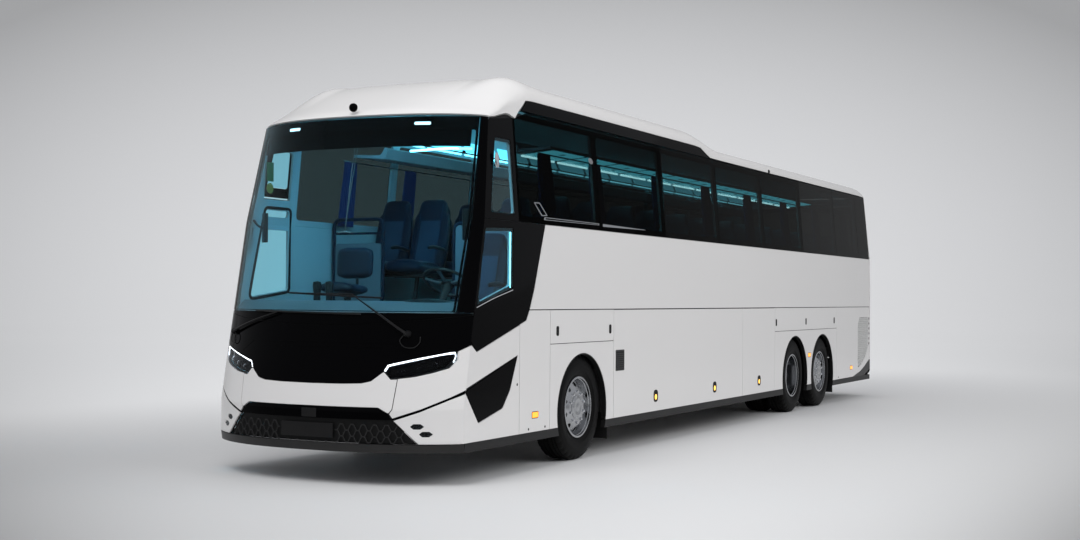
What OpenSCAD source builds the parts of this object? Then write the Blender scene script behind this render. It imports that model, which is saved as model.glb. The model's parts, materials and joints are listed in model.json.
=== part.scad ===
// Three-axle touring coach: panels, glass, doors, flaps, axles, wheels and cabin as separate pieces.
// Millimetres, +Z up, nose towards -Y, the coach's left side is +X, origin on the ground at mid length.

/* [Body] */
// Overall length over the bumpers
body_len = 14000; // [13400:50:16800]
// Overall width over the side panels
body_w = 2550; // [2300:10:3060]
// Top of the raised part of the roof, without the two bulges at its front corners
roof_top = 3615; // [3560:5:3900]
// Height of those bulges
ear_h = 40; // [0:5:60]
// Top of the low rear part of the roof
roof_base = 3450; // [3380:10:3540]
// Thickness of walls, flaps and skins
wall_t = 50; // [35:5:80]
// Height of the white skirt's lower edge
skirt_z = 350; // [300:10:420]
// Height of the black strip's lower edge
strip_z = 275; // [200:5:300]
// Height of the crease under the windows
crease_z = 1462; // [1400:1:1560]
// Lower edge of the side glass
glass_z = 2250; // [2100:10:2400]
// Upper edge of the side glass, where the roof starts
cant_z = 3270; // [3150:10:3350]
// Inward lean of the side glass per millimetre of height
glass_lean = 0.087; // [0.05:0.001:0.12]
// Depth of the rounded nose from its middle to the side walls, at bumper height
nose_depth = 455; // [350:5:600]
// Loss of that depth per millimetre of height above the bumper
nose_taper = 0.0377; // [0:0.0001:0.06]
// Depth of the rounded rear corners
tail_depth = 150; // [100:10:300]

/* [Windscreen] */
// Lower edge of the windscreen
screen_z = 1440; // [1400:5:1520]
// Upper edge of the windscreen
screen_top = 3150; // [3050:5:3250]
// Thickness of all glass
glass_t = 12; // [8:1:20]

/* [Wheels] */
// Front end to front axle
front_axle_y = 2762; // [2600:10:3000]
// Front axle to drive axle
wheelbase = 6960; // [6000:10:8350]
// Drive axle to tag axle
tag_gap = 1350; // [1300:10:1500]
// Tyre radius
tyre_r = 512; // [480:1:525]
// Tyre section width
tyre_w = 290; // [270:1:315]
// Radius of the rim's flange
rim_r = 299; // [290:1:330]
// Wheel centre plane to the coach's middle
track_x = 1093; // [1050:1:1110]
// Distance between twin wheels' centre planes
twin_gap = 335; // [320:1:350]
// Wheel arch radius at the front
arch_r = 555; // [545:1:600]
// Wheel arch radius at the rear
rear_arch_r = 583; // [545:1:590]
// Kingpin distance from the coach's middle
kingpin_x = 930; // [900:1:950]
// Kingpin radius
kingpin_r = 20; // [15:1:30]
// Wheel spindle radius
spindle_r = 45; // [35:1:55]
// Radial clearance of pins and spindles
pin_gap = 0.3; // [0.1:0.1:0.5]

/* [Doors and flaps] */
// Gap round doors and flaps
panel_gap = 7; // [6:1:12]
// Front end to the front door's rear edge
front_door_y = 1450; // [1350:10:1600]
// Top of the front door
front_door_z = 2500; // [2300:10:2600]
// Front edge of the middle door
mid_door_y = 7960; // [7000:10:8200]
// Width of the middle door
mid_door_w = 760; // [600:10:900]
// Length of the door arms between their two pivots
arm_len = 466; // [380:1:500]
// Front edge of the luggage flaps
flap_y = 3492; // [3450:1:3600]
// Seam between the left luggage flaps
left_flap_seam = 7480; // [5000:10:7900]
// Rear edge of the left luggage flaps
left_flap_end = 8791; // [8200:1:9000]
// Seam between the right luggage flaps
right_flap_seam = 5700; // [4500:10:7000]
// Top of the engine hatch
hatch_top = 1780; // [1500:10:1900]
// Bottom of the engine hatch
hatch_z = 640; // [600:10:900]
// Half width of the engine hatch
hatch_half = 930; // [700:10:1000]

/* [Cabin] */
// Top of the passenger floor
floor_z = 1450; // [1400:5:1500]
// Top of the driver's floor
driver_floor_z = 1060; // [950:5:1200]
// Distance between seat rows
seat_pitch = 800; // [700:10:960]
// Number of seat rows
seat_rows = 14; // [8:1:14]
// Width of a double seat
seat_w = 890; // [800:10:960]
// Steering wheel radius
wheel_r = 225; // [180:5:260]

/* [Hidden] */
half_body = body_w / 2;
drive_y = front_axle_y + wheelbase;
tag_y = drive_y + tag_gap;
axle_z = tyre_r;
arch_z = tyre_r - 33;
seam = 0.4;
screen_y = 59 + (screen_top - 950) * 0.2414;
raised_end = 5900;
tail_drop = 2;
tail_top = cant_z - tail_drop - seam;
rear_lean_z = 1800;
skin_cols = 20;
wave = 5;
frame_z = 700;
frame_h = 150;
frame_x = 420;
bay_z = 400;
bay_front = flap_y + 60;
bay_rear = left_flap_end + 60;
inner_x = half_body - wall_t;
window_y = 1410;
window_end = body_len - 2170;
window_count = 6;
window_pitch = (window_end - window_y) / window_count;
window_seams = concat([for (i = [0:window_count]) window_y + i * window_pitch], [body_len - 862]);
tow_x = 350;
tow_z = 480;
tow_r = 20;
bore_len = 120;

// ---- shared outlines ----

// Half width of the body at a height
function half_w(z) = half_body - glass_lean * max(0, z - glass_z);

// Setback of the nose's middle line from the front end
function nose_y(z) =
    z < 360 ? (360 - z) * 0.2 :
    z < 640 ? 0 :
    z < 950 ? (z - 640) * 0.19 :
    59 + (z - 950) * 0.2414;

function nose_d(z) = nose_depth - nose_taper * max(0, z - 950);
function nose_edge(z) = nose_y(z) + nose_d(z);
function nose_curve(u, d) = d * (1 - pow(1 - pow(min(1, abs(u)), 2.5), 1 / 1.2));
function tail_curve(u, d) = d * (1 - pow(1 - pow(min(1, abs(u)), wave), 1 / 2.2));
function tail_y(z) = body_len - 0.07 * max(0, z - rear_lean_z);
function smooth(s) = s <= 0 ? 0 : s >= 1 ? 1 : s * s * (3 - 2 * s);
function front_pt(u, z, t) =
    [u * (half_w(z) - t), nose_y(z) + t + nose_curve(u, nose_d(z) - t), z];
function tail_pt(u, z, t) =
    [u * (half_w(z) - t), tail_y(z) - t - tail_curve(u, tail_depth - t), z];
function spread(u0, u1, n) = [for (j = [0:n]) sin(asin(u0) + (asin(u1) - asin(u0)) * j / n)];

// Closed solid between two point grids of the same size
module grid_solid(outer, inner) {
    rows = len(outer);
    cols = len(outer[0]);
    n = rows * cols;
    function at(i, j) = i * cols + j;
    function quad(a, b, c, d) = [[a, b, c], [a, c, d]];
    polyhedron(
        concat([for (r = outer) for (p = r) p], [for (r = inner) for (p = r) p]),
        concat(
            [for (i = [0:rows - 2]) for (j = [0:cols - 2])
                each quad(at(i, j), at(i + 1, j), at(i + 1, j + 1), at(i, j + 1))],
            [for (i = [0:rows - 2]) for (j = [0:cols - 2])
                each quad(n + at(i, j), n + at(i, j + 1), n + at(i + 1, j + 1), n + at(i + 1, j))],
            [for (j = [0:cols - 2]) each quad(at(0, j), at(0, j + 1), n + at(0, j + 1), n + at(0, j))],
            [for (j = [0:cols - 2]) each quad(
                at(rows - 1, j), n + at(rows - 1, j), n + at(rows - 1, j + 1), at(rows - 1, j + 1))],
            [for (i = [0:rows - 2]) each quad(at(i, 0), n + at(i, 0), n + at(i + 1, 0), at(i + 1, 0))],
            [for (i = [0:rows - 2]) each quad(
                at(i, cols - 1), at(i + 1, cols - 1), n + at(i + 1, cols - 1), n + at(i, cols - 1))]
        )
    );
}

// Curved panel of the nose: rows are [height, first u, last u], u being -1 at the right side and 1 at the left
module nose_panel(rows, t, cols) {
    grid_solid(
        [for (r = rows) [for (u = spread(r[1], r[2], cols)) front_pt(u, r[0], 0)]],
        [for (r = rows) [for (u = spread(r[1], r[2], cols)) front_pt(u, r[0], t)]]
    );
}

// Curved panel of the tail, rows as for the nose
module tail_panel(rows, t, cols) {
    grid_solid(
        [for (r = rows) [for (u = spread(r[2], r[1], cols)) tail_pt(u, r[0], 0)]],
        [for (r = rows) [for (u = spread(r[2], r[1], cols)) tail_pt(u, r[0], t)]]
    );
}

// Extrude a (y, z) outline along X
module side_prism(x0, x1, outline) {
    translate([x0, 0, 0]) rotate([90, 0, 90]) linear_extrude(x1 - x0) polygon(outline);
}

// Extrude an (x, z) outline along Y
module cross_prism(y0, y1, outline) {
    translate([0, y1, 0]) rotate([90, 0, 0]) linear_extrude(y1 - y0) polygon(outline);
}

module block(low, high) {
    translate(low) cube(high - low);
}

module rod_x(x0, x1, r) {
    translate([x0, 0, 0]) rotate([0, 90, 0]) cylinder(r = r, h = x1 - x0, $fn = 64);
}

module both_sides() {
    children();
    mirror([1, 0, 0]) children();
}

// Put a piece that is measured from the front end into the coach's frame
module placed(tint) {
    color(tint) translate([0, -body_len / 2, 0]) children();
}

// ---- roof ----

// Height of the roof's middle line
function roof_mid(y) =
    screen_top
    + (roof_base - screen_top) * pow(1 - pow(1 - min(1, max(0, (y - screen_y) / 1300)), 2), 0.75)
    + (roof_top - roof_base) * smooth((y - 700) / 1100) * (1 - smooth((y - raised_end) / 1100));

function roof_edge(y) =
    screen_top + (cant_z - screen_top) * smooth((y - screen_y) / 500) - tail_drop * tail_fade(y);
function tail_fall(y) = pow(1 - pow(1 - min(1, max(0, (tail_y(cant_z) - y) / 600)), 2), 0.5);
function bump(s) = abs(s) >= 1 ? 0 : pow(1 - s * s, 2);
function ear(u, y) = ear_h * bump((abs(u) - 0.8) / 0.2) * bump((y - 1550) / 800);
function crown(u) = pow(max(0, 1 - pow(min(1, abs(u)), 5)), 1 / 3.5);

roof_rows = concat(
    [for (d = [0, 50, 120, 220, 350, 500, 650, 800, 950, 1150, 1400, 1700]) screen_y + d],
    [3200, 4600, raised_end, raised_end + 350, raised_end + 700, raised_end + 1100],
    [9000, 11200, body_len - 1000],
    [for (d = [600, 450, 300, 160, 60, 0]) tail_y(cant_z) - d]
);
function nose_fade(y) = 1 - smooth((y - screen_y) / 1500);
function tail_fade(y) = 1 - smooth((tail_y(cant_z) - y) / 600);
function roof_pt(u, y, t) =
    let (
        edge = roof_edge(y),
        mid = edge + (roof_mid(y) - edge) * tail_fall(y),
        deep = smooth((y - screen_y) / 300) * smooth((tail_y(cant_z) - y) / 300),
        front = nose_fade(y),
        back = tail_fade(y),
        top_d = nose_d(screen_top)
    )
    [
        u * (half_w(edge) - t),
        y + (front > 0 ? t * (1 - deep) + front * nose_curve(u, top_d - t * (1 - deep)) : 0)
            - (back > 0 ? t * (1 - deep) + back * tail_curve(u, tail_depth - t * (1 - deep)) : 0),
        edge + max(0, mid - t * deep - edge) * crown(u) + ear(u, y)
    ];

module roof_shell() {
    us = spread(-1, 1, 24);
    placed("white") grid_solid(
        [for (y = roof_rows) [for (u = us) roof_pt(u, y, 0)]],
        [for (y = roof_rows) [for (u = us) roof_pt(u, y, wall_t)]]
    );
}

// ---- walls ----

// Corner of the wall's top edge where the roof row at y ends
function roof_corner(y) = [y + nose_d(screen_top) * nose_fade(y), roof_edge(y)];

wall_outline = concat(
    [for (z = [skirt_z, 360, 640, 950, screen_top - seam]) [nose_edge(z) + seam, z]],
    [for (d = [50, 120, 220, 350, 500]) roof_corner(screen_y + d) - [0, seam]],
    [[tail_y(cant_z) - 600, cant_z - seam]],
    [for (z = [tail_top, rear_lean_z, skirt_z]) [tail_y(z) - tail_depth - seam, z]]
);

// Cross section of a wall between two depths below the outer surface
function wall_section(d0, d1, z0, z1) = let (zs = z0 < glass_z && z1 > glass_z ? [z0, glass_z, z1] : [z0, z1]) concat(
    [for (z = zs) [half_w(z) - d0, z]],
    [for (i = [len(zs) - 1:-1:0]) [half_w(zs[i]) - d1, zs[i]]]
);

module arch(y, r) {
    translate([0, y, arch_z]) rod_x(0, half_body + 50, r);
}

front_door_outline = [
    [nose_edge(skirt_z) + 45, skirt_z + 10],
    [nose_edge(950) + 45, 950],
    [nose_edge(front_door_z) + 45, front_door_z],
    [front_door_y, front_door_z],
    [front_door_y, skirt_z + 10]
];

// Front door outline grown by the panel gap, open at the bottom
front_doorway = [
    [nose_edge(skirt_z) + 45 - panel_gap, skirt_z - 1],
    [nose_edge(950) + 45 - panel_gap, 950],
    [nose_edge(front_door_z) + 45 - panel_gap, front_door_z + panel_gap],
    [front_door_y + panel_gap, front_door_z + panel_gap],
    [front_door_y + panel_gap, skirt_z - 1]
];
driver_pane = [[nose_edge(1485) + 20, 1485], [nose_edge(2171) + 20, 2171], [1305, 2194], [1305, 1649]];
mid_door_top = glass_z - 30;
right_flap_end = mid_door_y - 60;
flap_top = crease_z - 7;

// Left wall with its window, flap and arch openings; cuts are the children
module wall() {
    difference() {
        union() {
            intersection() {
                side_prism(half_body - 400, half_body + 1, wall_outline);
                cross_prism(0, body_len, wall_section(0, wall_t, skirt_z, glass_z));
            }
            intersection() {
                side_prism(half_body - 400, half_body + 1, wall_outline);
                cross_prism(0, body_len, wall_section(glass_t, wall_t, glass_z - 1, cant_z));
            }
        }
        for (i = [0:window_count])
            block([half_body - 400, window_seams[i] + 45, glass_z + 40],
                [half_body + 1, window_seams[i + 1] - 45, cant_z - 60]);
        arch(front_axle_y, arch_r);
        arch(drive_y, rear_arch_r);
        arch(tag_y, rear_arch_r);
        children();
    }
}

// Opening for a flap, with two hinge tabs left standing over it
module flap_cut(y0, y1) {
    difference() {
        block([half_body - 100, y0, skirt_z - 1], [half_body + 1, y1, flap_top + panel_gap]);
        for (y = [y0 + 200, y1 - 280])
            block([half_body - 42, y, flap_top + pin_gap], [half_body - 6, y + 80, flap_top + panel_gap + 1]);
    }
}

module flap(y0, y1) {
    block([half_body - wall_t + 5, y0 + panel_gap, skirt_z + 6], [half_body, y1 - panel_gap, flap_top]);
}

module left_wall() {
    placed("white") wall() {
        flap_cut(flap_y, left_flap_seam - 30);
        flap_cut(left_flap_seam + 30, left_flap_end);
        side_prism(half_body - 100, half_body + 1, driver_pane);
    }
}

module right_wall() {
    placed("white") mirror([1, 0, 0]) wall() {
        flap_cut(flap_y, right_flap_seam - 30);
        flap_cut(right_flap_seam + 30, right_flap_end);
        side_prism(half_body - 200, half_body + 1, front_doorway);
        block([half_body - 100, mid_door_y - panel_gap, skirt_z - 1],
            [half_body + 1, mid_door_y + mid_door_w + panel_gap, mid_door_top + panel_gap]);
    }
}

// Black strip under the skirt, broken at the arches, doors stand above it
module side_strips() {
    placed([0.03, 0.03, 0.03]) both_sides() difference() {
        block([half_body - wall_t, nose_edge(strip_z) + seam, strip_z],
            [half_body - 3, body_len - tail_depth - seam, skirt_z]);
        arch(front_axle_y, arch_r);
        arch(drive_y, rear_arch_r);
        arch(tag_y, rear_arch_r);
    }
}

// ---- side glass ----

glass_top = cant_z - 6;

// One pane between two seams
module pane(y0, y1, z0) {
    cross_prism(y0 + 3, y1 - 3, wall_section(0, glass_t - seam, z0, glass_top));
}

module pane_band(low_z) {
    corner_y = nose_edge(glass_z);
    intersection() {
        cross_prism(corner_y, window_y - 3, wall_section(0, glass_t - seam, low_z, glass_top));
        side_prism(half_body - 400, half_body + 1, concat(
            [for (z = [glass_z - 10, screen_top]) [nose_edge(z) + 6, z]],
            [for (d = [50, 120, 220, 350, 500]) roof_corner(screen_y + d) - [0, 6]],
            [[window_y, glass_top], [window_y, glass_z - 10]]
        ));
    }
    for (i = [0:window_count])
        pane(window_seams[i], window_seams[i + 1], i == 0 ? min(low_z, glass_z + 1) : glass_z);
    intersection() {
        pane(body_len - 862, tail_y(glass_z) - tail_depth, glass_z);
        side_prism(half_body - 400, half_body + 1, [
            [body_len - 900, glass_z], [tail_y(glass_z) - tail_depth - 120, glass_z],
            [tail_y(glass_z) - tail_depth - 40, glass_z + 130],
            [tail_y(cant_z) - tail_depth - 6, cant_z], [body_len - 900, cant_z]
        ]);
    }
}

module left_windows() {
    placed([0.05, 0.06, 0.07]) {
        pane_band(glass_z);
        side_prism(half_body - glass_t, half_body, driver_pane);
    }
}

module right_windows() {
    placed([0.05, 0.06, 0.07]) mirror([1, 0, 0]) difference() {
        pane_band(glass_z);
        block([half_body - 100, 0, glass_z - 10], [half_body + 1, front_door_y + panel_gap, front_door_z + panel_gap]);
    }
}

// ---- nose ----

headlight_z = [895, 1085];
headlight_u = 0.54;
grille_low_u = 0.772;
grille_top_u = 0.53;

module windscreen() {
    placed([0.08, 0.09, 0.1]) nose_panel([
        for (i = [0:6]) let (z = screen_z + (screen_top - seam - screen_z) * i / 6, u = 0.915 + 0.05 * i / 6)
            [z, -u, u]
    ], glass_t, skin_cols);
}

module front_pillars() {
    placed([0.02, 0.02, 0.02]) both_sides() nose_panel([
        for (i = [0:6]) let (z = screen_z + (screen_top - seam - screen_z) * i / 6, u = 0.915 + 0.05 * i / 6)
            [z, u + 0.0004, 1]
    ], wall_t, 5);
}

module front_fascia() {
    placed([0.02, 0.02, 0.02]) difference() {
        nose_panel([
            [880 + seam, -headlight_u, headlight_u],
            [headlight_z[1] - 2, -headlight_u, headlight_u],
            [headlight_z[1] + seam, -1, 1],
            [1200, -1, 1],
            [screen_z - seam, -1, 1]
        ], wall_t, skin_cols);
        for (p = wiper_pivots) wiper_shaft(p, 20.3);
    }
}

module headlights() {
    placed([0.8, 0.85, 0.9]) both_sides() nose_panel([
        for (z = [880 + seam, 950, headlight_z[1] - 3]) [z, headlight_u + 0.001, 1]
    ], wall_t, 8);
}

module front_bumper() {
    placed("white") difference() {
        nose_panel([for (z = [skirt_z + seam, 360, 500, 640, 760, 880]) [z, -1, 1]], wall_t, skin_cols);
        cross_prism(-10, nose_depth + 50, [
            [-half_body * grille_low_u - 8, skirt_z - 5], [half_body * grille_low_u + 8, skirt_z - 5],
            [half_body * grille_top_u + 8, 642], [-half_body * grille_top_u - 8, 642]
        ]);
    }
}

// Black mesh and the lip under it, with a hole for the towing eye
module lower_grille() {
    placed([0.04, 0.04, 0.04]) difference() {
        nose_panel([
            [strip_z, -1, 1], [skirt_z - seam, -1, 1],
            [skirt_z + seam, -grille_low_u, grille_low_u], [640, -grille_top_u, grille_top_u]
        ], wall_t, skin_cols);
        translate([tow_x, -10, tow_z]) rotate([-90, 0, 0]) cylinder(r = 70, h = 200, $fn = 48);
    }
}

function on_glass(p, d) = [p[0], nose_y(p[1]) + nose_curve(p[0] / half_w(p[1]), nose_d(p[1])) + d, p[1]];
wiper_pivots = [[-1040, 1255], [820, 1262]];

module wiper_shaft(p, r) {
    translate(on_glass(p, -45)) rotate([-90, 0, 0]) cylinder(r = r, h = 120, $fn = 32);
}

// Flat bar that follows the nose between two points, standing off it
module bar(a, b, off, tall, deep) {
    parts = 6;
    from = a[0] < b[0] ? a : b;
    to = a[0] < b[0] ? b : a;
    path = [for (i = [0:parts]) on_glass(from + (to - from) * i / parts, off)];
    polyhedron(
        points = [for (p = path) each [
            p - [0, 0, tall / 2], p + [0, deep, -tall / 2], p + [0, deep, tall / 2], p + [0, 0, tall / 2]
        ]],
        faces = concat(
            [[0, 1, 2, 3], [for (i = [3:-1:0]) 4 * parts + i]],
            [for (k = [0:parts - 1]) for (i = [0:3]) let (j = (i + 1) % 4)
                [4 * k + i, 4 * k + 4 + i, 4 * k + 4 + j, 4 * k + j]]
        )
    );
}

// A wiper: shaft, arm and blade standing clear of the glass
module wiper(pivot, elbow, tip0, tip1) {
    off = -36;
    wiper_shaft(pivot, 20);
    bar(pivot, elbow, off, 26, 12);
    bar(tip0, tip1, off + 6, 18, 14);
}

module wipers() {
    placed([0.03, 0.03, 0.03]) {
        wiper(wiper_pivots[0], [-437, 1431], [-720, 1442], [412, 1424]);
        wiper(wiper_pivots[1], [308, 1593], [-348, 1600], [580, 1563]);
    }
}

// ---- tail ----

rear_glass_z = [2230, 3130];
rear_glass_u = 0.8;
tail_z = hatch_z - 40;

module rear_wall() {
    placed("white") difference() {
        tail_panel([for (z = [tail_z, 1200, rear_lean_z, 2600, tail_top]) [z, -1, 1]], wall_t, skin_cols);
        block([-hatch_half - panel_gap, body_len - 300, hatch_z - panel_gap],
            [hatch_half + panel_gap, body_len + 10, hatch_top + panel_gap]);
        cross_prism(body_len - 400, body_len + 10, [
            [-rear_glass_u * half_body - 1, rear_glass_z[0]], [rear_glass_u * half_body + 1, rear_glass_z[0]],
            [rear_glass_u * half_body + 1, rear_glass_z[1]], [-rear_glass_u * half_body - 1, rear_glass_z[1]]
        ]);
        both_sides() block([hatch_half + 60, body_len - 300, 700], [half_body - 40, body_len + 10, 1500]);
    }
    placed([0.3, 0.3, 0.3]) both_sides()
        block([560, body_len - wall_t, hatch_top + pin_gap], [640, body_len - 15, hatch_top + panel_gap + 2]);
}

module rear_window() {
    placed([0.05, 0.06, 0.07]) intersection() {
        tail_panel([for (z = [rear_glass_z[0] - 10, rear_glass_z[1] + 10]) [z, -0.9, 0.9]], glass_t, skin_cols);
        block([-rear_glass_u * half_body, body_len - 400, rear_glass_z[0] + seam],
            [rear_glass_u * half_body, body_len + 10, rear_glass_z[1] - seam]);
    }
}

module tail_lights() {
    placed([0.6, 0.05, 0.05]) intersection() {
        tail_panel([for (z = [690, 1510]) [z, -1, 1]], wall_t - 10, skin_cols);
        both_sides() block([hatch_half + 60 + seam, body_len - 300, 700 + seam],
            [half_body - 40 - seam, body_len + 10, 1500 - seam]);
    }
}

module rear_bumper() {
    placed([0.04, 0.04, 0.04]) difference() {
        tail_panel([for (z = [strip_z, 450, tail_z - seam]) [z, -1, 1]], wall_t, skin_cols);
        translate([tow_x, body_len - 200, tow_z]) rotate([-90, 0, 0]) cylinder(r = 70, h = 300, $fn = 48);
    }
}

module engine_hatch() {
    placed("white") intersection() {
        tail_panel([for (z = [hatch_z - 10, hatch_top + 10]) [z, -0.9, 0.9]], wall_t - 5, skin_cols);
        block([-hatch_half, body_len - 300, hatch_z], [hatch_half, body_len + 10, hatch_top]);
    }
}

// ---- doors and flaps ----

door_t = wall_t - 5;
pivot_x = inner_x - 85;
front_pivot_y = front_door_y - 50;
mid_pivot_y = mid_door_y + mid_door_w - 50;
crank = 185;
bracket_zs = [600, 1150];
step_z = 420;

// Door leaf of the left side, its window cut and a bracket for its arm
module leaf(outline, window, top, bracket_y) {
    difference() {
        intersection() {
            side_prism(half_body - 300, half_body + 1, outline);
            cross_prism(0, body_len, wall_section(0, door_t, skirt_z, top + 10));
        }
        side_prism(half_body - 300, half_body + 1, window);
    }
    for (z = bracket_zs) {
        block([pivot_x, bracket_y - 30, z - 40], [half_body - door_t, bracket_y + 30, z - 10]);
        translate([pivot_x, bracket_y, z - 40]) cylinder(r = 30, h = 30, $fn = 48);
        translate([pivot_x, bracket_y, z - 40]) cylinder(r = 12, h = 70, $fn = 48);
    }
}

front_door_pane = [[757, 1536], [994, 2410], [1382, 2410], [1382, 1610]];
mid_door_pane = [
    [mid_door_y + 90, 1250], [mid_door_y + 90, mid_door_top - 90],
    [mid_door_y + mid_door_w - 90, mid_door_top - 90], [mid_door_y + mid_door_w - 90, 1250]
];
mid_door_outline = [
    [mid_door_y, skirt_z + 10], [mid_door_y, mid_door_top],
    [mid_door_y + mid_door_w, mid_door_top], [mid_door_y + mid_door_w, skirt_z + 10]
];

module front_door() {
    placed("white") mirror([1, 0, 0])
        leaf(front_door_outline, front_door_pane, front_door_z, front_pivot_y - arm_len);
}

module mid_door() {
    placed("white") mirror([1, 0, 0])
        leaf(mid_door_outline, mid_door_pane, mid_door_top, mid_pivot_y - arm_len);
}

module door_glass(outline) {
    intersection() {
        side_prism(half_body - 300, half_body + 1, outline);
        cross_prism(0, body_len, wall_section(glass_t, 2 * glass_t, skirt_z, front_door_z + 10));
    }
}

module front_door_glass() {
    placed([0.05, 0.06, 0.07]) mirror([1, 0, 0]) door_glass(front_door_pane);
}

module mid_door_glass() {
    placed([0.05, 0.06, 0.07]) mirror([1, 0, 0]) door_glass(mid_door_pane);
}

// Upright post and two cranked arms that swing a leaf out and back
module door_arm(pivot_y) {
    knee = [pivot_x - crank * sin(60), pivot_y - crank * cos(60)];
    translate([pivot_x, pivot_y, step_z + 30 + pin_gap]) cylinder(r = 25, h = 780, $fn = 48);
    for (z = bracket_zs) difference() {
        hull_arm([pivot_x, pivot_y], knee, [pivot_x, pivot_y - arm_len], z);
        translate([pivot_x, pivot_y - arm_len, z - 10]) cylinder(r = 12 + pin_gap, h = 80, $fn = 48);
    }
}

module hull_arm(a, b, c, z) {
    for (pair = [[a, b], [b, c]]) hull()
        for (p = pair) translate([p[0], p[1], z - 9.5]) cylinder(r = 22, h = 35, $fn = 32);
}

module front_door_arm() {
    placed([0.3, 0.3, 0.32]) mirror([1, 0, 0]) door_arm(front_pivot_y);
}

module mid_door_arm() {
    placed([0.3, 0.3, 0.32]) mirror([1, 0, 0]) door_arm(mid_pivot_y);
}

module left_front_flap() {
    placed("white") flap(flap_y, left_flap_seam - 30);
}

module left_rear_flap() {
    placed("white") flap(left_flap_seam + 30, left_flap_end);
}

module right_front_flap() {
    placed("white") mirror([1, 0, 0]) flap(flap_y, right_flap_seam - 30);
}

module right_rear_flap() {
    placed("white") mirror([1, 0, 0]) flap(right_flap_seam + 30, right_flap_end);
}

// ---- structure under the floor ----

floor_t = 50;
floor_front = 2050;
well_x = -420;
well_y0 = right_flap_end + 40;
well_y1 = mid_door_y + mid_door_w + 40;
tail_inner = body_len - 260;

module jack_pad(x, y) {
    block([x - 60, y - 60, frame_z - 40], [x + 60, y + 60, frame_z]);
}

// Rails, cross members, luggage bay floor and bulkheads
module chassis_frame() {
    placed([0.12, 0.12, 0.13]) difference() {
        union() {
            both_sides() {
                block([frame_x - 40, 420, frame_z], [frame_x + 40, bay_front + 1, frame_z + frame_h]);
                block([frame_x - 40, bay_rear - 1, frame_z], [frame_x + 40, tail_inner, frame_z + frame_h]);
                jack_pad(frame_x, front_axle_y + 560);
                jack_pad(frame_x, tag_y + 700);
            }
            block([-inner_x, bay_front, bay_z], [inner_x, bay_front + 40, floor_z - floor_t]);
            block([-inner_x, bay_rear - 40, bay_z], [inner_x, bay_rear, floor_z - floor_t]);
            bay_floor();
            for (y = [900, floor_front - 100])
                block([-frame_x - 40, y, frame_z + 10], [inner_x, y + 60, frame_z + frame_h - 10]);
            for (y = [front_axle_y + 240, tag_y - 60 - tag_gap / 2])
                block([-frame_x, y, frame_z + 10], [frame_x, y + 60, frame_z + frame_h - 10]);
            block([-inner_x, tag_y + 640, frame_z + 10], [inner_x, tag_y + 700, frame_z + frame_h - 10]);
            block([-inner_x, body_len - 700, frame_z + 10], [inner_x, body_len - 640, frame_z + frame_h - 10]);
            tow_beam(420, 100);
            tow_beam(body_len - 360, body_len - 100);
        }
        translate([tow_x, 99, tow_z]) rotate([-90, 0, 0]) cylinder(r = tow_r, h = bore_len + 1, $fn = 64);
        translate([tow_x, body_len - 100 - bore_len, tow_z]) rotate([-90, 0, 0])
            cylinder(r = tow_r, h = bore_len + 1, $fn = 64);
    }
}

// Floor of the luggage bay, cut out for the middle steps
module bay_floor() {
    difference() {
        block([-inner_x, bay_front, bay_z], [inner_x, bay_rear, bay_z + 40]);
        block([-inner_x - 1, well_y0 - 11, bay_z - 1], [well_x + 11, well_y1 + 11, bay_z + 41]);
    }
}

// Cross beam with a hanger and the towing tube, from its inner end y0 to its mouth y1
module tow_beam(y0, y1) {
    block([-frame_x - 40, y0, tow_z - 60], [frame_x + 40, y0 + 60, frame_z + frame_h]);
    translate([tow_x, min(y0 + 30, y1), tow_z]) rotate([-90, 0, 0])
        cylinder(r = 45, h = abs(y1 - y0 - 30), $fn = 64);
}

// Passenger floor, driver's floor, front steps and middle steps
module cabin_floor() {
    placed([0.35, 0.35, 0.37]) {
        difference() {
            block([-inner_x, floor_front, floor_z - floor_t], [inner_x, body_len - 300, floor_z]);
            block([-inner_x - 1, well_y0, floor_z - 100], [well_x, well_y1, floor_z + 1]);
        }
    }
}

entry_x = -480;

// Treads that climb from the right wall towards the middle
module steps(count, rise, run, y0, y1, deep) {
    for (i = [0:count - 1]) let (z = step_z + i * rise, x = -inner_x + 60 + i * run)
        block([x, y0, z], [x + deep, y1, z + 30]);
}

// Steps inside the middle door, between two side boards and a back board
module middle_stair() {
    placed([0.3, 0.3, 0.32]) {
        steps(4, 240, 165, well_y0, well_y1, 200);
        for (y = [well_y0 - 10, well_y1])
            block([-inner_x + 60, y, step_z], [well_x, y + 10, floor_z - floor_t]);
        block([well_x, well_y0 - 10, step_z], [well_x + 10, well_y1 + 10, floor_z - floor_t]);
    }
}

// Driver's platform on the left and the entrance steps on the right
module front_floor() {
    placed([0.35, 0.35, 0.37]) {
        block([entry_x, floor_front - 40, frame_z + frame_h], [inner_x, floor_front, floor_z - floor_t]);
        block([-inner_x, floor_front - 40, step_z], [entry_x, floor_front, floor_z - floor_t]);
        platform();
    }
}

module platform() {
    block([entry_x, 500, driver_floor_z - 40], [1150, floor_front - 40, driver_floor_z]);
    block([entry_x - 10, 500, step_z], [entry_x, floor_front - 40, driver_floor_z]);
    steps(3, 210, 225, 640, floor_front - 40, 235);
    block([1110, 640, frame_z + frame_h - 10], [1150, floor_front - 40, driver_floor_z - 40]);
}

// Boxes that close off the wheels from the body
module wheel_housings() {
    in_x = 580;
    top_z = 1110;
    placed([0.05, 0.05, 0.05]) both_sides() {
        housing(in_x, 2120, 3500, top_z);
        housing(in_x - 30, drive_y - 640, tag_y + 620, top_z + 20);
    }
}

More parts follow.
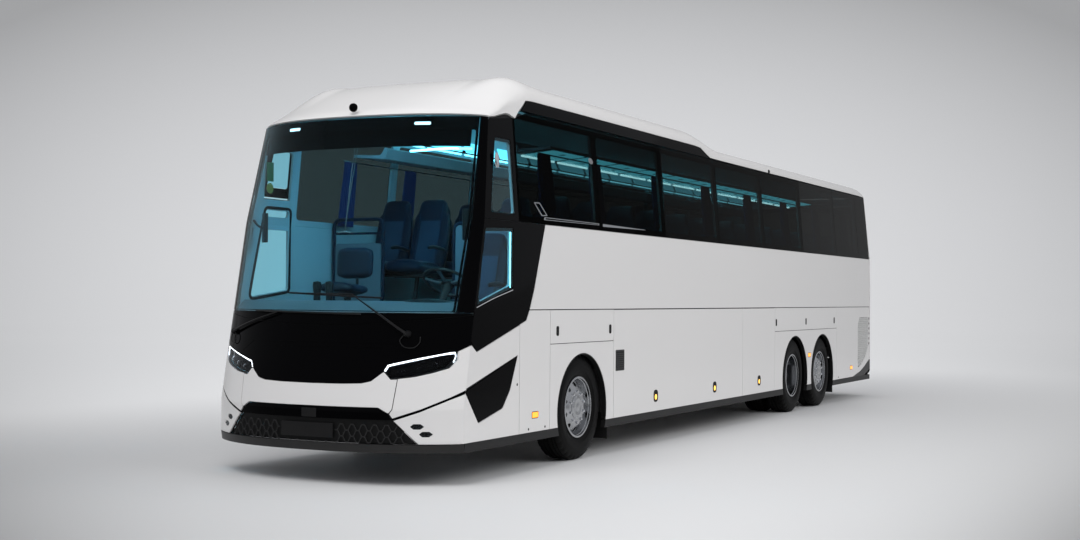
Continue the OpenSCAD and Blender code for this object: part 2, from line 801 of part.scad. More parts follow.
module housing(x, y0, y1, z) {
    difference() {
        block([x, y0, frame_z + frame_h], [inner_x, y1, z + 10]);
        block([x + 10, y0 + 10, 0], [inner_x + 1, y1 - 10, z]);
    }
}

module engine_block() {
    placed([0.2, 0.2, 0.22])
        block([-frame_x + 40, tag_y + 780, 520], [frame_x - 40, body_len - 705, 1330]);
}

// ---- axles, knuckles and wheels ----

boss_r = 45;

// Beam with kingpin bosses, springs standing on it under the rails
module steered_beam(y) {
    difference() {
        union() {
            block([-kingpin_x, y - 45, axle_z - 65], [kingpin_x, y + 45, axle_z + 65]);
            both_sides() {
                translate([kingpin_x, y, axle_z - 110]) cylinder(r = boss_r, h = 220, $fn = 64);
                translate([frame_x, y, axle_z + 60]) cylinder(r = 110, h = frame_z - axle_z - 60, $fn = 64);
            }
        }
        both_sides() translate([kingpin_x, y, axle_z - 111]) cylinder(r = kingpin_r + pin_gap, h = 222, $fn = 64);
    }
}

module front_axle_beam() {
    placed([0.15, 0.15, 0.16]) steered_beam(front_axle_y);
}

module tag_axle_beam() {
    placed([0.15, 0.15, 0.16]) steered_beam(tag_y);
}

module drive_axle() {
    placed([0.15, 0.15, 0.16]) translate([0, drive_y, axle_z]) {
        rod_x(-track_x + twin_gap + tyre_w / 2 + 15 - 0, track_x - twin_gap - tyre_w / 2 - 15, 75);
        rod_x(-track_x + 40, track_x - 40, spindle_r);
        translate([0, 0, 0]) rotate([90, 0, 0]) cylinder(r = 180, h = 260, center = true, $fn = 64);
        both_sides() for (y = [-300, 300]) {
            translate([frame_x, y, 70]) cylinder(r = 110, h = frame_z - axle_z - 70, $fn = 64);
            block([frame_x - 50, min(y, 0), 20], [frame_x + 50, max(y, 0), 70.5]);
        }
    }
}

// Left knuckle: two ears on the kingpin, the plate that joins them and the spindle
module knuckle(y) {
    translate([kingpin_x, y, axle_z]) {
        for (z = [-165, 115]) {
            translate([0, 0, z]) cylinder(r = boss_r, h = 50, $fn = 64);
            block([0, -45, z], [85, 45, z + 50]);
        }
        translate([0, 0, -165]) cylinder(r = kingpin_r, h = 330, $fn = 64);
        block([55, -60, -165], [85, 60, 165]);
        rod_x(80, track_x - kingpin_x + spindle_out, spindle_r);
    }
}

module knuckle_left() {
    placed([0.2, 0.2, 0.21]) knuckle(front_axle_y);
}

module knuckle_right() {
    placed([0.2, 0.2, 0.21]) mirror([1, 0, 0]) knuckle(front_axle_y);
}

module tag_knuckle_left() {
    placed([0.2, 0.2, 0.21]) knuckle(tag_y);
}

module tag_knuckle_right() {
    placed([0.2, 0.2, 0.21]) mirror([1, 0, 0]) knuckle(tag_y);
}

// Tyre about the X axis, centred on its own plane
module tyre() {
    h = tyre_w / 2;
    rotate([0, 90, 0]) rotate_extrude($fn = 96) polygon([
        [rim_r - 14, -h + 30], [rim_r + 30, -h + 12], [rim_r + 100, -h], [tyre_r - 60, -h + 6],
        [tyre_r - 18, -h + 22], [tyre_r, -h + 45], [tyre_r, h - 45], [tyre_r - 18, h - 22],
        [tyre_r - 60, h - 6], [rim_r + 100, h], [rim_r + 30, h - 12], [rim_r - 14, h - 30]
    ]);
}

barrel_r = rim_r - 14 - 0.5;
hub_r = 120;
spindle_out = 40;

// Rim barrel with its flanges, and a disc at the given offset; the outer face is towards +X
module rim(disc_x, convex) {
    h = tyre_w / 2 - 12;
    rotate([0, 90, 0]) rotate_extrude($fn = 96) polygon([
        [barrel_r - 12, -h + 20], [barrel_r - 12, h - 20], [rim_r - 20, h - 20], [rim_r - 20, h],
        [rim_r, h], [rim_r, h - 6], [barrel_r, h - 18], [barrel_r, -h + 18], [rim_r, -h + 6],
        [rim_r, -h], [rim_r - 20, -h], [rim_r - 20, -h + 20]
    ]);
    difference() {
        rotate([0, 90, 0]) rotate_extrude($fn = 96) polygon(convex ? [
            [hub_r - 20, disc_x - 20], [hub_r - 20, disc_x + 10], [172, disc_x + 10],
            [barrel_r - 6, disc_x - 50], [barrel_r - 6, disc_x - 76], [164, disc_x - 20]
        ] : [
            [spindle_r + pin_gap, disc_x - 24], [spindle_r + pin_gap, disc_x], [150, disc_x],
            [barrel_r - 6, disc_x + 60], [barrel_r - 6, disc_x + 36], [160, disc_x - 24]
        ]);
        for (a = [0:36:324]) rotate([a, 0, 0]) translate([0, 0, 222]) rod_x(disc_x - 70, disc_x + 70, 28);
    }
}

// Hub end that closes the wheel over the spindle
module hub(x0, x1) {
    difference() {
        rod_x(x0, x1, hub_r);
        rod_x(x0 - 1, spindle_out + 0.5, spindle_r + pin_gap);
    }
}

module front_wheel_rim() {
    rim(105, true);
    hub(-60, 130);
}

module at_wheel(x, y) {
    translate([x, y, axle_z]) children();
}

module front_tyre_left() { placed([0.05, 0.05, 0.05]) at_wheel(track_x, front_axle_y) tyre(); }
module front_tyre_right() { placed([0.05, 0.05, 0.05]) mirror([1, 0, 0]) at_wheel(track_x, front_axle_y) tyre(); }
module front_rim_left() { placed("silver") at_wheel(track_x, front_axle_y) front_wheel_rim(); }
module front_rim_right() { placed("silver") mirror([1, 0, 0]) at_wheel(track_x, front_axle_y) front_wheel_rim(); }
module tag_tyre_left() { placed([0.05, 0.05, 0.05]) at_wheel(track_x, tag_y) tyre(); }
module tag_tyre_right() { placed([0.05, 0.05, 0.05]) mirror([1, 0, 0]) at_wheel(track_x, tag_y) tyre(); }
module tag_rim_left() { placed("silver") at_wheel(track_x, tag_y) front_wheel_rim(); }
module tag_rim_right() { placed("silver") mirror([1, 0, 0]) at_wheel(track_x, tag_y) front_wheel_rim(); }

module twin_tyres() {
    at_wheel(track_x, drive_y) tyre();
    at_wheel(track_x - twin_gap, drive_y) tyre();
}

// Dished outer rim and reversed inner rim on one hub
module twin_rims() {
    at_wheel(track_x, drive_y) {
        rim(-twin_gap / 2 + 12, false);
        translate([-twin_gap, 0, 0]) mirror([1, 0, 0]) rim(-twin_gap / 2 + 12, false);
        difference() {
            rod_x(-twin_gap / 2 - 12, 20, 150);
            rod_x(-twin_gap, -40 + 0.5, spindle_r + pin_gap);
        }
    }
}

module drive_tyres_left() { placed([0.05, 0.05, 0.05]) twin_tyres(); }
module drive_tyres_right() { placed([0.05, 0.05, 0.05]) mirror([1, 0, 0]) twin_tyres(); }
module drive_rims_left() { placed("silver") twin_rims(); }
module drive_rims_right() { placed("silver") mirror([1, 0, 0]) twin_rims(); }

// ---- cabin ----

// Side outline of a seat, facing -Y, its back edge at y = 0
seat_outline = [
    [-560, 0], [-520, 0], [-480, 330], [-150, 330], [-130, 0], [-80, 0], [-60, 330], [90, 1090],
    [40, 1130], [-40, 1100], [-130, 480], [-610, 480], [-620, 380], [-500, 350]
];

module seat(x0, x1, y, z) {
    translate([0, y, z]) side_prism(x0, x1, seat_outline);
}

seat_x = 255;
row_y = 2800;

// Rows of double seats, the middle steps' rows left out on the right
module passenger_seats() {
    placed([0.1, 0.15, 0.35]) for (i = [0:seat_rows - 1]) {
        y = row_y + i * seat_pitch;
        seat(seat_x, seat_x + seat_w, y, floor_z);
        if (y - 640 > mid_door_y + mid_door_w + 50 || y + 110 < right_flap_end + 30)
            seat(-seat_x - seat_w, -seat_x, y, floor_z);
    }
}

module driver_seat() {
    placed([0.1, 0.15, 0.35]) seat(430, 930, 1930, driver_floor_z);
}

// Riser panels and rail behind the driver and behind the entrance
module front_partition() {
    placed([0.3, 0.32, 0.35]) {
        block([200, floor_front - 0, floor_z], [inner_x - 20, floor_front + 30, floor_z + 850]);
        block([-inner_x + 20, floor_front, floor_z], [-350, floor_front + 30, floor_z + 700]);
    }
}

// Driver's console across the nose
module dashboard() {
    placed([0.25, 0.25, 0.27]) difference() {
        side_prism(-250, 1130, [
            [640, driver_floor_z], [640, 1440], [820, 1500], [1010, 1470], [1080, 1380], [900, 1300],
            [860, driver_floor_z]
        ]);
        block([-251, 850, driver_floor_z - 1], [330, 1200, 1600]);
        at_steering() translate([0, 0, -420]) cylinder(r = 35 + pin_gap, h = 400, $fn = 48);
    }
}

module at_steering() {
    translate([680, wheel_y, wheel_z]) rotate([-32, 0, 0]) children();
}

wheel_y = 1180;
wheel_z = 1700;

// Rim, hub, spokes and column of the steering wheel
module steering_wheel() {
    placed([0.08, 0.08, 0.08]) at_steering() {
        rotate_extrude($fn = 72) translate([wheel_r, 0]) circle(r = 15, $fn = 24);
        translate([0, 0, -30]) cylinder(r = 60, h = 30, $fn = 48);
        for (a = [0, 120, 240]) rotate([0, 0, a]) block([-14, 40, -16], [14, wheel_r - 4, -4]);
        translate([0, 0, -360]) cylinder(r = 35, h = 335, $fn = 48);
    }
}

// Shelves along both sides under the roof, against the window posts
module luggage_racks() {
    placed([0.55, 0.57, 0.6]) both_sides() cross_prism(2300, body_len - 520, [
        [half_w(2990) - wall_t, 2990], [half_w(3020) - wall_t, 3020], [790, 3000], [745, 3080],
        [705, 3065], [755, 2960]
    ]);
}

chassis_frame();
cabin_floor();
front_floor();
middle_stair();
wheel_housings();
engine_block();
front_axle_beam();
drive_axle();
tag_axle_beam();
knuckle_left();
knuckle_right();
tag_knuckle_left();
tag_knuckle_right();
front_tyre_left();
front_tyre_right();
front_rim_left();
front_rim_right();
drive_tyres_left();
drive_tyres_right();
drive_rims_left();
drive_rims_right();
tag_tyre_left();
tag_tyre_right();
tag_rim_left();
tag_rim_right();
left_wall();
right_wall();
side_strips();
roof_shell();
front_fascia();
front_pillars();
front_bumper();
lower_grille();
headlights();
windscreen();
wipers();
left_windows();
right_windows();
rear_wall();
rear_window();
rear_bumper();
tail_lights();
engine_hatch();
front_door();
front_door_glass();
front_door_arm();
mid_door();
mid_door_glass();
mid_door_arm();
left_front_flap();
left_rear_flap();
right_front_flap();
right_rear_flap();
passenger_seats();
driver_seat();
front_partition();
dashboard();
steering_wheel();
luggage_racks();
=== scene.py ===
# Touring coach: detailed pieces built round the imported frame. Metres, nose towards -Y, left side is +X.
import json
import math
from functools import partial

import bmesh
import bpy
import numpy as np
from mathutils import Matrix, Vector
from mathutils.geometry import delaunay_2d_cdt


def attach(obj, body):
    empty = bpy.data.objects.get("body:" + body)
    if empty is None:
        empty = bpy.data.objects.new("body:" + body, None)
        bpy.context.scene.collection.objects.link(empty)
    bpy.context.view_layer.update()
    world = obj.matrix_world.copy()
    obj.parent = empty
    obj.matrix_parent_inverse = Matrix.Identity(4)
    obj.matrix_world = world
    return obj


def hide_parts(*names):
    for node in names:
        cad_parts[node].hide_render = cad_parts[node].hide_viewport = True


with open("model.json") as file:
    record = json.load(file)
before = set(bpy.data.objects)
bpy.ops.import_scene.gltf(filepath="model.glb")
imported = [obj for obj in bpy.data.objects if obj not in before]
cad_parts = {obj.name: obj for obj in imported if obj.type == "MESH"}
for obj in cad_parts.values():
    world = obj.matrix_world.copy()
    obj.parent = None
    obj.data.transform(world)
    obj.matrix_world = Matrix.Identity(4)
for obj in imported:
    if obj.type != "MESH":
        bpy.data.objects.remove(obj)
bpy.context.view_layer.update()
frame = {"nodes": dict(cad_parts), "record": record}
print("frame loaded")

coach = dict(
    halfLength=7.0, halfWidth=1.275, skirt=0.35, strip=0.275, crease=1.462, glass=2.25, cant=3.27,
    lean=0.087, skinIn=0.003, noseDepth=0.455, noseTaper=0.0377, tailDepth=0.15,
    screenLow=1.44, screenTop=3.15, roofBase=3.45, roofTop=3.615, raisedEnd=5.9, earHeight=0.036,
    frontAxle=2.762, driveAxle=9.722, tagAxle=11.072, axleHeight=0.512,
    archHeight=0.479, archRadius=0.555, rearArchRadius=0.583,
)
lengthBack = 2 * coach["halfLength"]


# ---- the coach's own curves: y is measured from the nose, and placed() moves it to the frame ----

def halfWidthAt(z):
    return coach["halfWidth"] - coach["lean"] * np.maximum(0, z - coach["glass"])


def noseFront(z):
    z = np.asarray(z, float)
    return np.where(z < 0.36, (0.36 - z) * 0.2,
                    np.where(z < 0.64, 0, np.where(z < 0.95, (z - 0.64) * 0.19, 0.059 + (z - 0.95) * 0.2414)))


def noseDeep(z):
    return coach["noseDepth"] - coach["noseTaper"] * np.maximum(0, z - 0.95)


def noseEdge(z):
    return noseFront(z) + noseDeep(z)


def noseCurve(u, deep):
    u = np.clip(np.abs(u), 0, 1)
    return deep * (1 - np.power(1 - np.power(u, 2.5), 1 / 1.2))


def tailCurve(u, deep):
    u = np.clip(np.abs(u), 0, 1)
    return deep * (1 - np.power(1 - np.power(u, 5), 1 / 2.2))


def tailBack(z):
    return lengthBack - 0.07 * np.maximum(0, z - 1.8)


def smoothStep(s):
    s = np.clip(s, 0, 1)
    return s * s * (3 - 2 * s)


def bump(s):
    return np.where(np.abs(s) >= 1, 0, (1 - np.minimum(1, s * s)) ** 2)


def arcTable(curve, deep, half):
    # arc length along a nose or tail curve against its share u of the half width
    u = 1 - np.linspace(1, 0, 900) ** 2.4
    x, y = u * half, curve(u, deep)
    return u, np.concatenate([[0], np.cumsum(np.hypot(np.diff(x), np.diff(y)))])


noseU, noseS = arcTable(noseCurve, 0.44, coach["halfWidth"])
tailU, tailS = arcTable(tailCurve, coach["tailDepth"], coach["halfWidth"])


def noseA(x, z):
    # arc coordinate of a point that stands at x on the nose
    u = x / halfWidthAt(z)
    return float(np.sign(u) * np.interp(abs(u), noseU, noseS))


def placed(x, y, z):
    return np.stack([x, y - coach["halfLength"], z + 0 * x], -1)


def noseAt(a, z, depth):
    u = np.sign(a) * np.interp(np.abs(a), noseS, noseU)
    y = noseFront(z) + depth + noseCurve(u, noseDeep(z) - depth)
    return placed(u * (halfWidthAt(z) - depth), y, z)


def tailAt(a, z, depth):
    u = np.sign(a) * np.interp(np.abs(a), tailS, tailU)
    y = tailBack(z) - depth - tailCurve(u, coach["tailDepth"] - depth)
    return placed(u * (halfWidthAt(z) - depth), y, z)


def back(y):
    return y - coach["halfLength"]


def sunk(at, extra):
    # the same surface, set deeper by extra
    return lambda a, b, depth: at(a, b, depth + extra)


def spotOn(at, a, b, depth=0.0):
    # one point of a surface
    return at(*(np.array([float(value)]) for value in (a, b, depth)))[0]


def sideAt(side):
    return lambda y, z, depth: placed(side * (halfWidthAt(z) - depth - coach["skinIn"]), y, z)


screenBack, tailEnd = 0.59, tailBack(coach["cant"])


def roofEdge(y):
    fade = 1 - smoothStep((tailEnd - y) / 0.6)
    rise = (coach["cant"] - coach["screenTop"]) * smoothStep((y - screenBack) / 0.5)
    return coach["screenTop"] + rise - 0.002 * fade


def crownShare(u):
    return np.power(np.maximum(0, 1 - np.abs(u) ** 5), 1 / 3.5)


def roofPoint(u, y, depth):
    edge = roofEdge(y)
    middle = coach["screenTop"] + (coach["roofBase"] - coach["screenTop"]) * np.power(
        1 - (1 - np.clip((y - screenBack) / 1.3, 0, 1)) ** 2, 0.75)
    middle = middle + (coach["roofTop"] - coach["roofBase"]) * smoothStep((y - 0.7) / 1.1) * (
        1 - smoothStep((y - coach["raisedEnd"]) / 1.1))
    fall = np.sqrt(1 - (1 - np.clip((tailEnd - y) / 0.6, 0, 1)) ** 2)
    middle = edge + (middle - edge) * fall
    ear = coach["earHeight"] * bump((np.abs(u) - 0.8) / 0.2) * bump((y - 1.55) / 0.8)
    noseFade = 1 - smoothStep((y - screenBack) / 1.5)
    tailFade = 1 - smoothStep((tailEnd - y) / 0.6)
    z = edge + np.maximum(0, middle - edge) * crownShare(u) + ear
    yy = y + noseFade * noseCurve(u, noseDeep(coach["screenTop"])) - tailFade * tailCurve(u, coach["tailDepth"])
    x = u * halfWidthAt(edge)
    return x * (1 - depth / coach["halfWidth"]), yy, z - depth


roofU = np.concatenate([np.linspace(0, 0.9, 200), 1 - np.linspace(0.1 ** (1 / 3), 0, 500)[1:] ** 3])
roofRefX = roofU * halfWidthAt(coach["cant"])
roofRefZ = 0.345 * crownShare(roofU)
roofS = np.concatenate([[0], np.cumsum(np.hypot(np.diff(roofRefX), np.diff(roofRefZ)))])
roofArc = roofS[-1]


def roofAt(a, y, depth):
    # across the roof from its middle; past roofArc the surface runs on down the wall
    inside = np.minimum(np.abs(a), roofArc)
    over = np.maximum(np.abs(a) - roofArc, 0)
    u = np.sign(a) * np.interp(inside, roofS, roofU)
    x, yy, z = roofPoint(u, y, depth)
    return placed(x + np.sign(a) * coach["lean"] * over, yy, z - over)


# ---- mesh helpers ----

def area2(loop):
    x, y = loop[:, 0], loop[:, 1]
    return 0.5 * float(np.sum(x * np.roll(y, -1) - np.roll(x, -1) * y))


def rounded(corners, radius=0.0, parts=5):
    # a closed outline with its corners rounded; a corner may carry its own radius as a third value
    out, n = [], len(corners)
    for i in range(n):
        p = np.array(corners[i][:2], float)
        r = corners[i][2] if len(corners[i]) > 2 else radius
        before = np.array(corners[i - 1][:2], float) - p
        after = np.array(corners[(i + 1) % n][:2], float) - p
        lb, la = np.linalg.norm(before), np.linalg.norm(after)
        if r <= 0 or lb < 1e-6 or la < 1e-6:
            out.append(p)
            continue
        before, after = before / lb, after / la
        half = math.acos(float(np.clip(before @ after, -1, 1))) / 2
        if half > 1.55 or half < 0.02:
            out.append(p)
            continue
        back = min(r / math.tan(half), lb * 0.48, la * 0.48)
        start, end = p + before * back, p + after * back
        for k in range(parts + 1):
            t = k / parts
            out.append((1 - t) ** 2 * start + 2 * t * (1 - t) * p + t * t * end)
    return np.array(out)


def rectangle(y0, z0, y1, z1):
    return [(y0, z0), (y1, z0), (y1, z1), (y0, z1)]


def roundRect(y0, z0, y1, z1, radius):
    return rounded(rectangle(y0, z0, y1, z1), radius)


def roundAbout(y, z, halfY, halfZ, radius):
    return roundRect(y - halfY, z - halfZ, y + halfY, z + halfZ, radius)


def circleLoop(centre, radius, count=48, start=0.0, sweep=2 * math.pi):
    t = start + sweep * np.arange(count) / count
    return np.stack([centre[0] + radius * np.cos(t), centre[1] + radius * np.sin(t)], -1)


def sampled(loop, step):
    if not step:
        return loop
    out = []
    for i in range(len(loop)):
        p, q = loop[i], loop[(i + 1) % len(loop)]
        n = max(1, int(math.ceil(np.linalg.norm(q - p) / step)))
        out += [p + (q - p) * k / n for k in range(n)]
    return np.array(out)


def tidyLoop(loop):
    keep = [i for i in range(len(loop)) if np.linalg.norm(loop[i] - loop[i - 1]) > 2e-5]
    return loop[keep]


def outwards(loop):
    # unit vectors in the plane that point away from the filled side, one for each corner
    d = np.roll(loop, -1, 0) - loop
    d /= np.maximum(np.linalg.norm(d, axis=1, keepdims=True), 1e-9)
    n = np.stack([d[:, 1], -d[:, 0]], -1)
    both = n + np.roll(n, 1, 0)
    return both / np.maximum(1 + np.sum(n * np.roll(n, 1, 0), 1, keepdims=True), 0.35)


def offsetLoop(loop, inset):
    loop = np.asarray(loop, float)
    if area2(loop) < 0:
        loop = loop[::-1]
    return loop - outwards(loop) * inset


def within(points, loop):
    x, y = points[:, 0], points[:, 1]
    inside = np.zeros(len(points), bool)
    for i in range(len(loop)):
        (x0, y0), (x1, y1) = loop[i], loop[(i + 1) % len(loop)]
        if y0 == y1:
            continue
        inside ^= ((y0 > y) != (y1 > y)) & (x < (x1 - x0) * (y - y0) / (y1 - y0) + x0)
    return inside


def nearLoop(points, loop, reach):
    near = np.zeros(len(points), bool)
    for i in range(len(loop)):
        p, d = loop[i], loop[(i + 1) % len(loop)] - loop[i]
        t = np.clip(((points - p) @ d) / max(float(d @ d), 1e-12), 0, 1)
        near |= np.sum((points - p - t[:, None] * d) ** 2, 1) < reach * reach
    return near


def newObject(name, mesh, material):
    obj = bpy.data.objects.new(name, mesh)
    bpy.context.scene.collection.objects.link(obj)
    if material:
        mesh.materials.append(material)
    return obj


def fillPart(outline, at, holes=(), step=None, thick=0.008, edge=0.0015, stepB=None):
    # a closed plate that lies on a surface: rounded rim, turned-in sides and a back
    loops = [np.asarray(outline, float)] + [np.asarray(h, float) for h in holes]
    loops = [l if (area2(l) > 0) == (i == 0) else l[::-1] for i, l in enumerate(loops)]
    loops = [tidyLoop(sampled(l, step)) for l in loops]
    points, depths, tilts, outs, edges, rims = [], [], [], [], [], []
    for loop in loops:
        out = outwards(loop)
        for k, angle in enumerate((0, math.pi / 4, math.pi / 2)):
            first = len(points)
            inset, depth = edge * (1 - math.cos(angle)), edge * (1 - math.sin(angle))
            points += list(loop - out * inset)
            depths += [depth] * len(loop)
            tilts += [angle] * len(loop)
            outs += list(out)
            edges += [(first + i, first + (i + 1) % len(loop)) for i in range(len(loop))]
            if k == 0:
                rims.append((first, len(loop)))
    if step:
        low, high = loops[0].min(0), loops[0].max(0)
        sb = stepB or step
        ga, gb = np.arange(low[0] + step / 2, high[0], step), np.arange(low[1] + sb / 2, high[1], sb)
        grid = np.array([(p, q) for p in ga for q in gb]) if len(ga) and len(gb) else np.zeros((0, 2))
        if len(grid):
            keep = within(grid, loops[0])
            for i, loop in enumerate(loops):
                if i:
                    keep &= ~within(grid, loop)
                keep &= ~nearLoop(grid, loop, min(step, sb) * 0.45 + edge)
            count = int(keep.sum())
            points += list(grid[keep])
            depths += [0.0] * count
            tilts += [math.pi / 2] * count
            outs += [np.zeros(2)] * count
    got = delaunay_2d_cdt([Vector((float(p[0]), float(p[1]))) for p in points], edges, [], 0, 1e-7)
    flat = np.array([(v.x, v.y) for v in got[0]])
    source = [min(ids) if ids else -1 for ids in got[3]]
    depth = np.array([depths[s] if s >= 0 else 0.0 for s in source])
    tilt = np.array([tilts[s] if s >= 0 else math.pi / 2 for s in source])
    out2 = np.array([outs[s] if s >= 0 else (0, 0) for s in source])
    tris = np.array([f[:3] for f in got[2] if len(f) == 3])
    middle = flat[tris].mean(1)
    keep = within(middle, loops[0])
    for loop in loops[1:]:
        keep &= ~within(middle, loop)
    tris = tris[keep]
    at0 = lambda p, d: at(p[:, 0], p[:, 1], d)
    here = at0(flat, depth)
    tiny = 2e-4
    da = at0(flat + [tiny, 0], depth) - at0(flat - [tiny, 0], depth)
    db = at0(flat + [0, tiny], depth) - at0(flat - [0, tiny], depth)
    normal = np.cross(da, db)
    normal /= np.maximum(np.linalg.norm(normal, axis=1, keepdims=True), 1e-15)
    ref = at0(flat, depth) - at0(flat, depth + 1e-3)
    sign = np.sign(np.sum(normal * ref, 1, keepdims=True))
    sign[sign == 0] = 1
    normal *= sign
    out3 = at0(flat + out2 * tiny, depth) - at0(flat - out2 * tiny, depth)
    out3 -= normal * np.sum(out3 * normal, 1, keepdims=True)
    out3 /= np.maximum(np.linalg.norm(out3, axis=1, keepdims=True), 1e-12)
    shade = normal * np.sin(tilt)[:, None] + out3 * np.cos(tilt)[:, None]
    a, b, c = here[tris[:, 0]], here[tris[:, 1]], here[tris[:, 2]]
    wrong = np.sum(np.cross(b - a, c - a) * normal[tris[:, 0]], 1) < 0
    tris[wrong] = tris[wrong][:, ::-1]
    count = len(flat)
    under = at0(flat, np.full(count, thick))
    verts = np.concatenate([here, under])
    faces = [tuple(t) for t in tris] + [tuple(t[::-1] + count) for t in tris]
    norms = [shade[i] for t in tris for i in t] + [-normal[i] for t in tris for i in t[::-1]]
    edgeOf = {(t[i], t[(i + 1) % 3]): True for t in tris for i in range(3)}
    for i, j in edgeOf:
        if (j, i) not in edgeOf:
            faces.append((j, i, i + count, j + count))
            norms += [out3[j], out3[i], out3[i], out3[j]]
    return verts, faces, norms


def plates(name, parts, material):
    # several closed plates as one object, with the normals that their surface gives
    verts, faces, norms, first = [], [], [], 0
    for v, f, n in parts:
        verts.append(v)
        faces += [tuple(int(i) + first for i in face) for face in f]
        norms += n
        first += len(v)
    mesh = bpy.data.meshes.new(name)
    mesh.from_pydata(np.concatenate(verts).tolist(), [], faces)
    mesh.shade_smooth()
    mesh.normals_split_custom_set([tuple(x) for x in norms])
    return newObject(name, mesh, material)


def solid(name, parts, material, angle=35, bevel=0.0, segments=2):
    # joins (verts, faces) parts into one smooth-shaded object
    verts, faces, first = [], [], 0
    for v, f in parts:
        verts += [tuple(float(c) for c in p) for p in v]
        faces += [tuple(int(i) + first for i in face) for face in f]
        first += len(v)
    mesh = bpy.data.meshes.new(name)
    mesh.from_pydata(verts, [], faces)
    mesh.update()
    if bevel:
        work = bmesh.new()
        work.from_mesh(mesh)
        bmesh.ops.recalc_face_normals(work, faces=work.faces)
        sharp = [e for e in work.edges if len(e.link_faces) == 2 and e.calc_face_angle(0) > math.radians(30)]
        bmesh.ops.bevel(work, geom=sharp, offset=bevel, offset_type="OFFSET", segments=segments, profile=0.5,
                        affect="EDGES", clamp_overlap=True)
        work.to_mesh(mesh)
        work.free()
    mesh.shade_smooth()
    mesh.set_sharp_from_angle(angle=math.radians(angle))
    return newObject(name, mesh, material)


def boxPart(low, high, turn=None, pivot=None):
    lo, hi = np.minimum(low, high), np.maximum(low, high)
    v = np.array([(x, y, z) for x in (lo[0], hi[0]) for y in (lo[1], hi[1]) for z in (lo[2], hi[2])], float)
    if turn is not None:
        p = np.array(pivot if pivot is not None else (lo + hi) / 2)
        v = (v - p) @ np.array(turn.to_3x3()).T + p
    return v, [(0, 1, 3, 2), (4, 6, 7, 5), (0, 4, 5, 1), (2, 3, 7, 6), (0, 2, 6, 4), (1, 5, 7, 3)]


def lathePart(profile, count=64, centre=(0, 0, 0), axis="x", closed=True):
    # a profile of (along, radius) turned round an axis
    names = {"x": (0, 1, 2), "y": (1, 2, 0), "z": (2, 0, 1)}[axis]
    rows = len(profile)
    v = np.zeros((rows * count, 3))
    for k in range(count):
        t = 2 * math.pi * k / count
        for i, (along, r) in enumerate(profile):
            v[k * rows + i, names[0]] = along
            v[k * rows + i, names[1]] = r * math.cos(t)
            v[k * rows + i, names[2]] = r * math.sin(t)
    v += np.array(centre)
    last = rows if closed else rows - 1
    f = [(k * rows + i, k * rows + (i + 1) % rows, (k + 1) % count * rows + (i + 1) % rows, (k + 1) % count * rows + i)
         for k in range(count) for i in range(last)]
    return v, f


def tubePart(path, radius, sides=10, closed=False, wide=1.0, up=None):
    # a round or flattened tube along points; its ends are domed in
    p = np.array(path, float)
    n = len(p)
    r = np.broadcast_to(np.asarray(radius, float), (n,))
    tangent = np.gradient(p, axis=0) if not closed else np.roll(p, -1, 0) - np.roll(p, 1, 0)
    tangent /= np.maximum(np.linalg.norm(tangent, axis=1, keepdims=True), 1e-9)
    side = np.cross(tangent[0], up if up is not None else ((0, 0, 1) if abs(tangent[0][2]) < 0.9 else (1, 0, 0)))
    side /= np.linalg.norm(side)
    v, f = [], []
    for i in range(n):
        side = side - tangent[i] * (side @ tangent[i])
        side /= np.linalg.norm(side)
        other = np.cross(tangent[i], side)
        for k in range(sides):
            t = 2 * math.pi * k / sides
            v.append(p[i] + r[i] * (wide * math.cos(t) * side + math.sin(t) * other))
    for i in range(n if closed else n - 1):
        for k in range(sides):
            a, b = i * sides + k, i * sides + (k + 1) % sides
            c, d = (i + 1) % n * sides + (k + 1) % sides, (i + 1) % n * sides + k
            f.append((a, b, c, d))
    if not closed:
        for end, way in ((0, -1), (n - 1, 1)):
            ring = [end * sides + k for k in range(sides)]
            v.append(p[end] + tangent[end] * way * r[end] * 0.4)
            tip = len(v) - 1
            for k in range(sides):
                a, b = ring[k], ring[(k + 1) % sides]
                f.append((b, a, tip) if way < 0 else (a, b, tip))
    return np.array(v), f


def curved(points, count=24):
    # smooth points through a few given ones
    p = np.array(points, float)
    q = np.vstack([2 * p[0] - p[1], p, 2 * p[-1] - p[-2]])
    out = []
    spans = len(p) - 1
    for k in range(count):
        s = k / (count - 1) * spans
        i = min(int(s), spans - 1)
        t = s - i
        a, b, c, d = q[i], q[i + 1], q[i + 2], q[i + 3]
        out.append(0.5 * (2 * b + (c - a) * t + (2 * a - 5 * b + 4 * c - d) * t * t + (3 * b - a - 3 * c + d) * t ** 3))
    return np.array(out)


def moved(part, offset=(0, 0, 0), mirror=False, turn=None):
    v, f = part
    v = np.array(v, float)
    if turn is not None:
        v = v @ np.array(turn.to_3x3()).T
    if mirror:
        v = v * [-1, 1, 1]
        f = [tuple(reversed(face)) for face in f]
    return v + np.array(offset, float), f


def put(obj, body, slot, replaces=()):
    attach(obj, body)
    if replaces:
        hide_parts(*replaces)
    return obj


usualSlots = {look: slot for slot, looks in dict(
    body_white="paintWhite", black_gloss="glossBlack", black_trim="satinBlack darkTrim rubberBlack dashBlack",
    alloy="alloyBright alloyDull chromeTrim meshGrey meshBed", frame_steel="frameSteel", tyre="tyreRubber",
    cabin_grey="cabinGrey cabinPale dashGrey screenGlow plateGreen plateYellow", wheel_rim_leather="leatherRim",
    seat_fabric="seatCloth seatPattern seatLeather curtainCloth", clear_glass="clearGlass",
    dark_glass="sideGlass sideGlassFront sideGlassRear", lamp_red="lampRed lampAmber lampYellow",
    lamp_clear="lampClear lampWhite cabinGlow panelGlow lineGlow coveGlow").items() for look in looks.split()}


